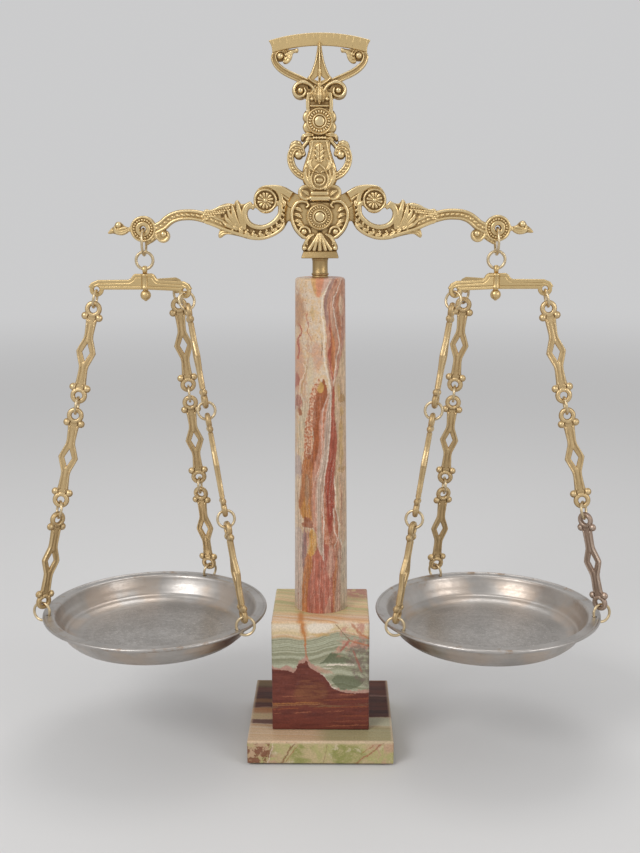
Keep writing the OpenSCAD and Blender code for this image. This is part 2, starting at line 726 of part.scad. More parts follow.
// A flat link with an eye at each end, balls beside the eyes and a diamond opening at its middle
module link(length) {
    half = length / 2;
    neck = 3.4;
    color(link_brass) {
        translate([0, link_t / 2, 0]) rotate([90, 0, 0]) linear_extrude(link_t) difference() {
            union() {
                both_sides() polygon([[0, -half + 3], [2.8, -half + 3], [neck, -half + 12], [3.6, -14],
                    [3.8, -11], [8, 0], [3.8, 11], [3.6, 14], [neck, half - 12], [2.8, half - 3],
                    [0, half - 3]]);
                for (e = [-1, 1]) translate([0, e * half]) circle(link_eye_r);
            }
            polygon([[0, -7.4], [3.2, 0], [0, 7.4], [-3.2, 0]]);
            for (e = [-1, 1]) translate([0, e * half]) circle(link_hole_r);
        }
        for (x = [-1, 1]) for (e = [-1, 1]) translate([x * 5.6, 0, e * (half - 6.4)]) sphere(3, $fn = 24);
    }
}

module chain_link(c, k) {
    on_chain(c, link_top(c, k) + link_l(c) / 2, LINK_TURNS[c][k]) link(link_l(c));
}

// A ring's wire runs along its own y where it passes through an eye
module chain_rings() {
    color(pale_brass) for (c = [0 : 2]) {
        for (k = [0 : 2]) on_chain(c, ring_mid(c, k), RING_TURNS[c][k]) wire_ring(ring_r, wire_r);
        on_chain(c, span(c), RIM_RING_TURNS[c]) wire_ring(rim_ring_r, wire_r);
    }
}

module on_right() {
    mirror([1, 0, 0]) children();
}

base_felt();
base_slab();
plinth_block();
column();
tie_rod();
tie_washer();
tie_nut();
neck_post();
foot_plate();
head_back();
head_front();
rosette_front();
rosette_back();
rosette_upper();
bush_front();
bush_back();
spacer_sleeves();
head_screws();
lyre_frame();
index_arc();
arc_rivets();
beam();
pivot_pin();
pointer();
pointer_screws();
hook_ring();  // hook_ring_left
on_right() hook_ring();  // hook_ring_right
suspension_ring();  // suspension_ring_left
on_right() suspension_ring();  // suspension_ring_right
yoke_stem();  // yoke_stem_left
on_right() yoke_stem();  // yoke_stem_right
yoke();  // yoke_left
on_right() yoke();  // yoke_right
pan();  // pan_left
on_right() pan();  // pan_right
chain_rings();  // chain_rings_left
on_right() chain_rings();  // chain_rings_right
for (c = [0 : 2]) for (k = [0 : 2]) {
    chain_link(c, k);
    on_right() chain_link(c, k);
}
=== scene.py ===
# %% [markdown]
# # A balance scale of onyx and cast brass
# The balance is a square slab, a plinth block and a round column of banded onyx, with a brass head on top.
# The beam swings in the head, and two pans hang from its ends on chains of flat links.
# The packed model already holds every piece at its place. This lesson gives each one its casting detail,
# its wire, its spun metal or its stone, and never moves anything that the model holds.

# %% Load the frame
import json
import math

import bmesh
import bpy
import numpy as np
from mathutils import Matrix, Vector


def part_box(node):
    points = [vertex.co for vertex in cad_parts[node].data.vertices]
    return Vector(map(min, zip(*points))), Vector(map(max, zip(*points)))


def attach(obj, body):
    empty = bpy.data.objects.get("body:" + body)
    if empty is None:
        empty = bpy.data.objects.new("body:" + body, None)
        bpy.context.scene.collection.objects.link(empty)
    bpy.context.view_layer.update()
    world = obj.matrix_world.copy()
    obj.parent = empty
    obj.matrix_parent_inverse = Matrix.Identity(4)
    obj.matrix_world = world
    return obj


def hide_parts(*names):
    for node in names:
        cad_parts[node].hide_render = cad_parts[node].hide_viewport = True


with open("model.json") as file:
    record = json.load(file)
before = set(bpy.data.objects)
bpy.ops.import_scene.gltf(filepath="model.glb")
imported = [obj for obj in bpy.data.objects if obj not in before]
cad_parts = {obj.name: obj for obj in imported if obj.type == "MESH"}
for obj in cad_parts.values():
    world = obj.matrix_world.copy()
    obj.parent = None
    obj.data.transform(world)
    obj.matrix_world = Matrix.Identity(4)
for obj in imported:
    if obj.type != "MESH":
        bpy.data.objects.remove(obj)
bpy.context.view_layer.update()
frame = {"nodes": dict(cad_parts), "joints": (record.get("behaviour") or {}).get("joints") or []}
MM = 0.001
JOINTS = {joint["name"]: joint for joint in frame["joints"]}
PIVOT_Z = JOINTS["beam_tilt"]["pos_m"][2] / MM
ARM_L = JOINTS["hook_swing_right"]["pos_m"][0] / MM
print("nodes", len(frame["nodes"]), "pivot", round(PIVOT_Z, 2), "arm", round(ARM_L, 2))

# %% [markdown]
# ## Camera
# The photograph was taken from in front, a little above the pans, with a normal lens. The camera's place
# was found from the straight edges of the slab and the round rims of the pans, so it is given in metres.
# Its turn is built from three directions, which is easier to check than three angles.

# %% Camera
VIEW_FROM = Vector((0.01339, -0.8919, 0.44951))
VIEW_YAW, VIEW_PITCH, VIEW_ROLL = 0.0155176, 0.196711, 0.0028107
LENS, SENSOR = 46.515, 36.0

level_right = Vector((math.cos(VIEW_YAW), math.sin(VIEW_YAW), 0))
level_ahead = Vector((-math.sin(VIEW_YAW), math.cos(VIEW_YAW), 0))
ahead = level_ahead * math.cos(VIEW_PITCH) - Vector((0, 0, math.sin(VIEW_PITCH)))
above = level_right.cross(ahead)
right = level_right * math.cos(VIEW_ROLL) - above * math.sin(VIEW_ROLL)
above = right.cross(ahead)

camera = bpy.data.objects.new("camera", bpy.data.cameras.new("camera"))
camera.data.lens = LENS
camera.data.sensor_width = SENSOR
turn = Matrix((right, above, -ahead)).transposed().to_4x4()
camera.matrix_world = Matrix.Translation(VIEW_FROM) @ turn
bpy.context.scene.collection.objects.link(camera)
bpy.context.scene.camera = camera
bpy.context.scene.view_settings.view_transform = "Standard"
print("camera", [round(v, 3) for v in camera.location])

# %% [markdown]
# ## Wiring nodes
# A material is a chain of small steps. This helper places a node, sets its values and joins its inputs in
# one call, so that each recipe below reads from top to bottom. Sockets, numbers and colours all go in the
# same way.

# %% A helper for node trees
class Wires:
    def __init__(self, tree):
        self.tree = tree

    def node(self, kind, inputs=None, **settings):
        made = self.tree.nodes.new("ShaderNode" + kind)
        for name, value in settings.items():
            setattr(made, name, value)
        for key, value in (inputs or {}).items():
            self.feed(made.inputs[key], value)
        return made

    def feed(self, socket, value):
        if isinstance(value, bpy.types.NodeSocket):
            self.tree.links.new(value, socket)
        elif hasattr(value, "__len__") and len(value) == 3 and socket.type == "RGBA":
            socket.default_value = (*value, 1)
        else:
            socket.default_value = value

    def math(self, operation, a, b=0.0, c=0.0, clamp=False):
        made = self.node("Math", {0: a, 1: b, 2: c}, operation=operation, use_clamp=clamp)
        return made.outputs[0]

    def times(self, *values):
        total = values[0]
        for value in values[1:]:
            total = self.math("MULTIPLY", total, value)
        return total

    def minus(self, a, b):
        return self.math("SUBTRACT", a, b)

    def mix(self, factor, a, b):
        return self.node("Mix", {0: factor, 6: a, 7: b}, data_type="RGBA").outputs[2]

    def span(self, value, low, high, to_low=0.0, to_high=1.0):
        made = self.node("MapRange", {0: value, 1: low, 2: high, 3: to_low, 4: to_high},
                         interpolation_type="SMOOTHSTEP")
        return made.outputs[0]

    def between(self, value, low, high, soft):
        return self.times(self.span(value, low - soft, low + soft),
                          self.span(value, high + soft, high - soft))

    def noise(self, where, scale, detail=3.0, rough=0.55, warp=0.0):
        made = self.node("TexNoise", {"Vector": where, "Scale": scale, "Detail": detail,
                                      "Roughness": rough, "Distortion": warp})
        return made.outputs[0]

    def along(self, value, scale, detail):
        """Noise along a line."""
        made = self.node("TexNoise", {"W": value, "Scale": scale, "Detail": detail}, noise_dimensions="1D")
        return made.outputs[0]

    def vector(self, x, y, z):
        return self.node("CombineXYZ", {0: x, 1: y, 2: z}).outputs[0]

    def split(self, where):
        return self.node("SeparateXYZ", {0: where}).outputs

    def group(self, tree, **values):
        made = self.node("Group", node_tree=tree)
        for name, value in values.items():
            self.feed(made.inputs[name.replace("_", " ")], value)
        return made.outputs


def new_group(name, inputs, outputs):
    tree = bpy.data.node_groups.new(name, "ShaderNodeTree")
    for title, kind, value in inputs:
        socket = tree.interface.new_socket(title, in_out="INPUT", socket_type=kind)
        if value is not None:
            socket.default_value = value
    for title, kind in outputs:
        tree.interface.new_socket(title, in_out="OUTPUT", socket_type=kind)
    start = tree.nodes.new("NodeGroupInput")
    end = tree.nodes.new("NodeGroupOutput")
    return Wires(tree), start.outputs, end.inputs


def new_material(name):
    material = bpy.data.materials.new(name)
    material.use_nodes = True
    material.node_tree.nodes.clear()
    wires = Wires(material.node_tree)
    shader = wires.node("BsdfPrincipled")
    out = wires.node("OutputMaterial")
    wires.feed(out.inputs["Surface"], shader.outputs[0])
    where = wires.node("TexCoord").outputs["Object"]
    return material, wires, shader.inputs, where


def bump(wires, height, strength, distance):
    return wires.node("Bump", {"Height": height, "Strength": strength, "Distance": distance}).outputs[0]


FLOAT, PLACE = "NodeSocketFloat", "NodeSocketVector"
print("helper ready")

# %% [markdown]
# ## Floor and light
# The stand-in for a studio: a wide pale floor that fades into the pale grey of the world, one large soft
# lamp high on the left and a weaker one on the right. The floor fades by its distance from the balance, so
# every view has the same quiet background.

# %% Floor, lamps and world
WORLD_GREY = (0.6, 0.6, 0.605)
FLOOR_R = 9.0

world = bpy.data.worlds.new("studio")
world.use_nodes = True
world.node_tree.nodes["Background"].inputs[0].default_value = (*WORLD_GREY, 1)
world.node_tree.nodes["Background"].inputs[1].default_value = 1.0
bpy.context.scene.world = world

floor_mesh = bmesh.new()
bmesh.ops.create_circle(floor_mesh, cap_ends=True, segments=96, radius=FLOOR_R)
floor_data = bpy.data.meshes.new("floor")
floor_mesh.to_mesh(floor_data)
floor = bpy.data.objects.new("floor", floor_data)
bpy.context.scene.collection.objects.link(floor)

paint = bpy.data.materials.new("pale_floor")
paint.use_nodes = True
paint.node_tree.nodes.clear()
wires = Wires(paint.node_tree)
away = wires.node("VectorMath", {0: wires.node("TexCoord").outputs["Object"]},
                  operation="LENGTH").outputs[1]
near = wires.node("BsdfDiffuse", {"Color": (0.66, 0.655, 0.65)})
far = wires.node("Emission", {"Color": WORLD_GREY, "Strength": 1.0})
blend = wires.node("MixShader", {0: wires.span(away, 0.9, 4.2), 1: near.outputs[0], 2: far.outputs[0]})
wires.feed(wires.node("OutputMaterial").inputs[0], blend.outputs[0])
floor_data.materials.append(paint)


def soft_lamp(name, place, aim, size, watts):
    lamp = bpy.data.lights.new(name, "AREA")
    lamp.size = size
    lamp.energy = watts
    holder = bpy.data.objects.new(name, lamp)
    turn = (Vector(aim) - Vector(place)).to_track_quat("-Z", "Y").to_matrix().to_4x4()
    holder.matrix_world = Matrix.Translation(place) @ turn
    bpy.context.scene.collection.objects.link(holder)


soft_lamp("key_lamp", (-1.1, -1.3, 1.5), (0, 0, 0.3), 0.9, 17)
soft_lamp("fill_lamp", (1.3, -1.0, 0.9), (0, 0, 0.3), 0.8, 6)
soft_lamp("top_lamp", (0.1, 0.5, 1.7), (0, 0, 0.2), 0.8, 5)

# %% [markdown]
# ## Shared effects
# Old brass is never one colour: hollows keep dark polish residue and are darkened further as painted shade,
# high spots are rubbed bright, and the whole surface has faint clouds and fine scratches. These effects are
# node groups with named values, so that brass, wire, pans and steel use the same effect, each at its own
# strength.

# %% Group: clouds and grain
wires, given, out = new_group(
    "clouds_and_grain",
    [("Place", PLACE, None), ("Cloud size", FLOAT, 60.0), ("Grain size", FLOAT, 1400.0)],
    [("Clouds", FLOAT), ("Grain", FLOAT), ("Specks", FLOAT)])
clouds = wires.noise(given["Place"], given["Cloud size"], 4.0, 0.6, 0.3)
grain = wires.noise(given["Place"], given["Grain size"], 2.0, 0.6)
dots = wires.noise(given["Place"], wires.times(given["Cloud size"], 9.0), 2.0, 0.7)
wires.feed(out["Clouds"], wires.span(clouds, 0.34, 0.68))
wires.feed(out["Grain"], grain)
wires.feed(out["Specks"], wires.span(dots, 0.62, 0.74))
CLOUDS = wires.tree

# %% Group: hollows and rubbed edges
# The castings carry two values for each point: how deep it lies in a hollow, and how far it stands proud.
wires, given, out = new_group(
    "hollows_and_edges",
    [("Place", PLACE, None), ("Dirt", FLOAT, 1.0)],
    [("Hollow", FLOAT), ("Proud", FLOAT)])
# Darkening in the hollows: partly polish residue, partly painted shade.
deep = wires.node("Attribute", attribute_name="hollow").outputs["Fac"]
high = wires.node("Attribute", attribute_name="proud").outputs["Fac"]
patchy = wires.noise(given["Place"], 220.0, 3.0, 0.6)
held = wires.times(deep, wires.span(patchy, 0.25, 0.6, 0.65, 1.15))
wires.feed(out["Hollow"], wires.math("MULTIPLY", held, given["Dirt"], clamp=True))
wires.feed(out["Proud"], wires.math("MULTIPLY", high, wires.span(patchy, 0.3, 0.7, 1.0, 0.6), clamp=True))
HOLLOWS = wires.tree

# %% Group: fine scratches
wires, given, out = new_group(
    "fine_scratches",
    [("Place", PLACE, None), ("Size", FLOAT, 90.0)],
    [("Scratches", FLOAT)])
lines = []
for angle in (0.35, 1.5, 2.6):
    turned = wires.node("Mapping", {"Vector": given["Place"], "Rotation": (angle, angle * 0.7, angle)})
    thin = wires.node("VectorMath", {0: turned.outputs[0], 1: (1.0, 22.0, 22.0)},
                      operation="MULTIPLY").outputs[0]
    lines.append(wires.span(wires.noise(thin, given["Size"], 2.0, 0.5), 0.63, 0.7))
wires.feed(out["Scratches"], wires.math("MAXIMUM", wires.math("MAXIMUM", lines[0], lines[1]), lines[2]))
SCRATCHES = wires.tree
print("groups", [g.name for g in bpy.data.node_groups])

# %% [markdown]
# ## Metals
# Cast brass is satin gold, darker in its hollows from polish residue and from painted shade. The links are a
# browner, duller brass, and the rings are pale drawn wire. The post and the foot plate get a darker copy of
# the brass, painted shade for their place under the head. One recipe makes them all: what differs is the
# colour, the shine and how dark the hollows are made.

# %% Brass, link brass, wire and steel
def aged_metal(name, colour, dark, bright, rough, darkening, grain_depth, cloud_size=55.0):
    material, wires, shader, where = new_material(name)
    cloud = wires.group(CLOUDS, Place=where, Cloud_size=cloud_size, Grain_size=1500.0)
    wear_and_shade = wires.group(HOLLOWS, Place=where, Dirt=darkening)
    scratch = wires.group(SCRATCHES, Place=where, Size=70.0)[0]
    tinted = wires.mix(cloud["Clouds"], colour, tuple(0.86 * c for c in colour))
    tinted = wires.mix(wires.times(cloud["Specks"], 0.35), tinted, dark)
    rubbed = wires.mix(wires.times(wear_and_shade["Proud"], 0.6), tinted, bright)
    # Hollows darkened toward the dark colour: partly polish residue, partly painted shade.
    hollow_darkened = wires.mix(wear_and_shade["Hollow"], rubbed, dark)
    wires.feed(shader["Base Color"], hollow_darkened)
    shader["Metallic"].default_value = 1.0
    uneven = wires.span(cloud["Clouds"], 0.0, 1.0, rough - 0.04, rough + 0.08)
    polished = wires.minus(uneven, wires.times(wear_and_shade["Proud"], 0.08))
    dulled = wires.math("ADD", polished, wires.times(wear_and_shade["Hollow"], 0.25))
    wires.feed(shader["Roughness"], dulled)
    skin = wires.minus(cloud["Grain"], wires.times(scratch, 0.6))
    wires.feed(shader["Normal"], bump(wires, skin, 0.35, grain_depth))
    return material


brass, shaded_brass, link_brass, worn_link, ring_wire, steel = [aged_metal(*recipe) for recipe in (
    ("cast_brass", (0.72, 0.532, 0.262), (0.25, 0.155, 0.065), (0.93, 0.77, 0.47), 0.4, 0.9, 0.00006),
    # A darker copy of the cast brass: painted shade for the post and the foot plate under the head.
    ("shaded_brass", (0.47, 0.33, 0.155), (0.2, 0.12, 0.05), (0.78, 0.61, 0.36), 0.42, 0.9, 0.00012),
    ("link_brass", (0.68, 0.5, 0.265), (0.2, 0.12, 0.05), (0.84, 0.67, 0.4), 0.42, 0.9, 0.00016),
    ("worn_link_brass", (0.5, 0.38, 0.3), (0.18, 0.11, 0.08), (0.66, 0.56, 0.46), 0.45, 0.9, 0.00016),
    ("ring_wire", (0.7, 0.56, 0.35), (0.28, 0.18, 0.09), (0.9, 0.78, 0.56), 0.36, 0.8, 0.00008),
    ("turned_steel", (0.56, 0.56, 0.57), (0.2, 0.17, 0.14), (0.8, 0.8, 0.8), 0.35, 0.8, 0.00006))]
print("metals", [m.name for m in (brass, shaded_brass, link_brass, worn_link, ring_wire, steel)])

# %% [markdown]
# ## Pan metal
# The pans were spun from aluminium sheet on a lathe, so the marks run in rings round the middle. Years of
# use left grey clouds, scratches on the floor and brown stains where the rings hang in the rim.

# %% Spun and tarnished sheet
def pan_metal(name, middle_x, floor_r):
    material, wires, shader, where = new_material(name)
    x, y, z = wires.split(where)
    off_x = wires.minus(x, middle_x)
    radius = wires.math("SQRT", wires.math("ADD", wires.times(off_x, off_x), wires.times(y, y)))
    angle = wires.math("ARCTAN2", y, off_x)
    around = wires.vector(wires.times(radius, 900.0), wires.times(angle, 0.9), 0.0)
    spun = wires.noise(around, 1.0, 4.0, 0.6)
    wide = wires.noise(wires.vector(wires.times(radius, 160.0), wires.times(angle, 0.5), 0.0),
                       1.0, 2.0, 0.5)
    cloud = wires.group(CLOUDS, Place=where, Cloud_size=34.0, Grain_size=900.0)
    mottle = wires.noise(where, 260.0, 5.0, 0.7)
    scratch = wires.group(SCRATCHES, Place=where, Size=34.0)[0]
    on_floor = wires.span(radius, floor_r, floor_r - 0.012)
    tone = wires.mix(cloud["Clouds"], (0.5, 0.472, 0.445), (0.4, 0.375, 0.35))
    tone = wires.mix(wires.times(wires.span(mottle, 0.35, 0.7), wires.times(on_floor, 0.55)),
                     tone, (0.31, 0.29, 0.27))
    tone = wires.mix(wires.times(wires.span(wide, 0.45, 0.75), 0.3), tone, (0.62, 0.595, 0.565))
    tone = wires.mix(wires.times(scratch, wires.times(on_floor, 0.5)), tone, (0.8, 0.79, 0.77))
    warm = wires.times(wires.between(radius, 0.068, 0.084, 0.003),
                       wires.span(wires.noise(where, 30.0, 2.0), 0.42, 0.6))
    tone = wires.mix(wires.times(warm, 0.55), tone, (0.56, 0.45, 0.36))
    stain = wires.times(wires.span(radius, 0.078, 0.09),
                       wires.span(wires.noise(where, 70.0, 4.0, 0.6), 0.56, 0.68))
    tone = wires.mix(wires.times(stain, 0.6), tone, (0.34, 0.22, 0.13))
    wires.feed(shader["Base Color"], tone)
    shader["Metallic"].default_value = 1.0
    shine = wires.math("ADD", wires.span(mottle, 0.3, 0.7, 0.32, 0.46), wires.times(stain, 0.15))
    wires.feed(shader["Roughness"], shine)
    rings = wires.math("ADD", wires.times(spun, 0.7), wires.times(mottle, 0.35))
    wires.feed(shader["Normal"], bump(wires, rings, 0.3, 0.00012))
    return material


pan_skin = {side: pan_metal("pan_metal_" + side, sign * ARM_L * MM, 0.068)
            for side, sign in (("left", -1), ("right", 1))}
print("pan metal ready")

# %% [markdown]
# ## Onyx
# Banded onyx is laid down in thin layers, so its bands follow each other like the lines of a contour map,
# and cracks filled with rust or iron cut across them. Each block is cut from another stone: the column has
# upright salmon and rust bands, the plinth is maroon below and grey-green above, and the slab is pale with
# maroon patches. The colour depends on the point in the solid, as in real stone, so that bands run on round
# the corners.

# %% Groups: swaying levels and layer lines
wires, given, out = new_group(
    "swaying_level",
    [("Level", FLOAT, 0.0), ("Place", PLACE, None), ("Size", FLOAT, 60.0), ("Sway", FLOAT, 3.0),
     ("Ruffle", FLOAT, 0.8)],
    [("Level", FLOAT)])
slow = wires.minus(wires.noise(given["Place"], given["Size"], 2.0, 0.5), 0.5)
quick_size = wires.times(given["Size"], 5.0)
quick = wires.minus(wires.noise(given["Place"], quick_size, 4.0, 0.7), 0.5)
level = wires.math("MULTIPLY_ADD", slow, wires.times(given["Sway"], 4.0), given["Level"])
wires.feed(out["Level"], wires.math("MULTIPLY_ADD", quick, wires.times(given["Ruffle"], 4.0), level))
SWAY = wires.tree

wires, given, out = new_group(
    "layer_lines",
    [("Level", FLOAT, 0.0), ("Pitch", FLOAT, 4.0)],
    [("Bands", FLOAT), ("Dark lines", FLOAT), ("Pale lines", FLOAT)])
turns = wires.math("DIVIDE", given["Level"], given["Pitch"])
wires.feed(out["Bands"], wires.span(wires.along(turns, 1.0, 2.0), 0.36, 0.64))
wires.feed(out["Dark lines"], wires.span(wires.along(turns, 2.7, 1.0), 0.56, 0.66))
wires.feed(out["Pale lines"], wires.span(wires.along(turns, 4.1, 1.0), 0.57, 0.66))
LINES = wires.tree


# %% Masks drawn from given points
def in_mm(wires, where):
    return [wires.times(part, 1000.0) for part in wires.split(where)]


def stretched(wires, where, scale):
    return wires.node("VectorMath", {0: where, 1: scale}, operation="MULTIPLY").outputs[0]


def near_to(wires, value, middle, half, soft):
    off = wires.math("ABSOLUTE", wires.minus(value, middle))
    return wires.span(wires.minus(off, half), soft, -soft)


def broken(wires, mask, grain, amount=0.8):
    """Breaks the soft edge of a mask into grains."""
    pushed = wires.math("MULTIPLY_ADD", wires.minus(grain, 0.5), amount * 4, mask)
    return wires.times(wires.span(pushed, 0.4, 0.62), wires.span(mask, 0.0, 0.15))


def drawn_curve(wires, value, points, low=-150, high=150):
    """A value drawn over another: points are (value, result), and results lie from low to high."""
    first, last = points[0][0], points[-1][0]
    share = wires.node("MapRange", {0: value, 1: float(first), 2: float(last)}).outputs[0]
    drawn = wires.node("FloatCurve", {"Value": share})
    curve = drawn.mapping.curves[0]
    spots = [((v - first) / (last - first), (result - low) / (high - low)) for v, result in points]
    curve.points[0].location, curve.points[1].location = spots[0], spots[-1]
    for spot in spots[1:-1]:
        curve.points.new(*spot)
    drawn.mapping.update()
    return wires.math("MULTIPLY_ADD", drawn.outputs[0], float(high - low), float(low))


def strip(wires, across, along, edges, soft):
    """A mask between two given edges: (along, low edge, high edge). Crossed edges close it."""
    low = drawn_curve(wires, along, [(a, l) for a, l, _ in edges])
    high = drawn_curve(wires, along, [(a, h) for a, _, h in edges])
    above = wires.span(wires.minus(across, low), -soft, soft)
    return wires.times(above, wires.span(wires.minus(high, across), -soft, soft)), low, high


def strips(wires, colour, across, along, listed):
    for tint, strength, soft, edges in listed:
        mask = strip(wires, across, along, edges, soft)[0]
        colour = wires.mix(wires.times(mask, strength), colour, tint)
    return colour


def vein(wires, u, v, start, end, width):
    """A mask along the line from start to end in the plane of u and v."""
    run = (end[0] - start[0], end[1] - start[1])
    length = math.hypot(*run)
    du, dv = wires.minus(u, start[0]), wires.minus(v, start[1])
    across = wires.math("MULTIPLY_ADD", du, -run[1] / length, wires.times(dv, run[0] / length))
    along = wires.math("MULTIPLY_ADD", du, run[0] / length, wires.times(dv, run[1] / length))
    return wires.times(near_to(wires, across, 0.0, width, 0.7 * width),
                       wires.between(along, 0.0, length, 1.5))


def veins_in(wires, colour, u, v, listed):
    for tint, strength, width, start, end in listed:
        colour = wires.mix(wires.times(vein(wires, u, v, start, end, width), strength), colour, tint)
    return colour


def polish(wires, shader, where, colour, shine):
    """Polished stone: satin gloss, grains a little darker and lighter, and small dark pits."""
    pits = wires.span(wires.noise(where, 420.0, 2.0, 0.6), 0.7, 0.76)
    swell = wires.noise(where, 60.0, 3.0, 0.5)
    grain = wires.span(wires.noise(where, 700.0, 4.0, 0.75), 0.3, 0.7, 0.84, 1.1)
    toned = wires.node("VectorMath", {0: colour, "Scale": grain}, operation="SCALE").outputs[0]
    wires.feed(shader["Base Color"], wires.mix(wires.times(pits, 0.45), toned, (0.12, 0.05, 0.03)))
    wires.feed(shader["Roughness"], wires.span(swell, 0.3, 0.7, 0.28, 0.4))
    shader["Specular IOR Level"].default_value = shine
    height = wires.minus(wires.times(swell, 0.5), pits)
    wires.feed(shader["Normal"], bump(wires, height, 0.12, 0.0004))


CREAM, PALE, WHITE = (0.64, 0.48, 0.26), (0.66, 0.5, 0.35), (0.78, 0.68, 0.56)
SALMON, RUST, DARK_RED = (0.47, 0.17, 0.085), (0.33, 0.1, 0.038), (0.3, 0.05, 0.028)
PINK, MAUVE, LAVENDER = (0.57, 0.32, 0.23), (0.38, 0.115, 0.085), (0.47, 0.37, 0.34)
ORANGE, OCHRE, BROWN = (0.5, 0.19, 0.05), (0.56, 0.34, 0.11), (0.24, 0.12, 0.06)
print("stone helpers ready")

# %% [markdown]
# The column's face is drawn from the real stone: a field of pale sand at the upper left, a rust flame in the
# middle, a maroon foot, and white and dark threads that run past them. Each band is a colour, a strength, a
# soft edge and a short list of (height, left edge, right edge) in millimetres, with smooth curves between.

# %% Bands of the column's upper half
RUN_OF_BANDS = [(117, 2), (165, 2.6), (182, 2.3), (195, 2.9), (205, 2.5), (214, 2), (226, 2.9), (238, 4.1),
                (247, 5.6), (258, 7.2), (272, 8.1), (290, 8.4), (300, 8.6), (310, 8.6), (322, 6.5),
                (335, 5), (345, 5.2), (357, 4.4), (365, 3.6), (374, 2.8), (380, 3.2), (385, 5.2),
                (391, 8.2), (394, 10)]
BRICK, TERRACOTTA, ROSE = (0.37, 0.09, 0.055), (0.46, 0.17, 0.085), (0.53, 0.25, 0.165)
SAND, STRAW, SAGE = (0.63, 0.46, 0.29), (0.58, 0.38, 0.16), (0.57, 0.48, 0.33)
UPPER_LEFT = [
    (ROSE, 0.5, 2.0, [(318, -2, -4), (326, -5, 2), (340, -6, 1), (346, -2, -4)]),
    ((0.47, 0.26, 0.15), 0.75, 1.8, [(354, -17, -19), (360, -22, -14), (378, -22, -14.5), (384, -17, -19)]),
    (SAGE, 0.6, 1.6, [(286, -12, -14), (296, -11, -7.5), (318, -9.5, -5.5), (330, -9, -6), (338, -8, -10)]),
    (SAGE, 0.7, 1.2, [(246, -16, -17), (254, -17.5, -13.5), (290, -15.5, -10), (300, -14, -16)]),
    (ROSE, 0.6, 1.6, [(300, -17, -19), (306, -22, -15.5), (340, -22, -15), (346, -17, -19)]),
    (MAUVE, 0.75, 0.9, [(306, -18, -19), (308, -22, -16), (315, -22, -16.6), (318, -18, -19)]),
    (MAUVE, 0.75, 0.9, [(289, -18, -19), (291, -22, -15.8), (298, -22, -16), (301, -18, -19)]),
    (RUST, 0.8, 0.7, [(284, -16, -18), (286, -18, -15), (289, -18, -15.2), (291, -16, -18)]),
    (STRAW, 0.7, 1.0, [(360, -4, -6), (364, -7.4, -4), (370, -7, -4.4), (374, -4, -6)])]
UPPER_RIGHT = [
    ((0.36, 0.22, 0.18), 0.9, 0.5, [(355, 6, 5), (360, 4.3, 6.3), (365, 3.8, 6.1), (374, 2.9, 5.6),
                                    (380, 3.4, 6.1), (391, 8.4, 10.6), (398, 12, 14)]),
    (TERRACOTTA, 0.75, 0.6, [(338, 17, 16), (344, 15.8, 17.4), (366, 13, 15.4), (378, 12.4, 14.8),
                             (390, 16, 15)]),
    (PALE, 0.7, 0.8, [(362, 17, 16), (366, 15.6, 17.2), (378, 15.2, 17.4), (383, 17, 16)]),
    (BRICK, 0.9, 0.5, [(309, 11.4, 10.6), (319, 8.8, 11.4), (328, 7, 10), (337, 6.5, 10.4),
                       (343, 8.6, 10.6), (350, 8, 9.6), (357, 7, 7.6), (361, 7, 6)]),
    ((0.56, 0.22, 0.09), 0.9, 0.6, [(313, 11.4, 10.8), (320, 9.8, 11.6), (330, 9, 11.2), (339, 9.4, 11.9),
                                    (347, 9.2, 11.2), (354, 8.4, 9), (358, 8.6, 7.6)])]
TOP_PATCH = [
    ((0.58, 0.36, 0.28), 0.9, 1.0,
     [(378, 0, -1), (384, -1.5, 2.5), (388, -1, 6.1), (393, 0, 8.8), (400, 2, 12)]),
    ((0.58, 0.24, 0.13), 0.9, 1.1, [(377, -1, -2), (380, -2.6, 0), (387, -5, 1.6), (394, -5.6, 3.2),
                                    (400, -6, 4)]),
    ((0.58, 0.33, 0.13), 0.85, 0.9, [(380, -3, -4), (384, -4.6, -2.6), (388, -6, -3), (394, -7.4, -3.4),
                                     (400, -8, -4)])]

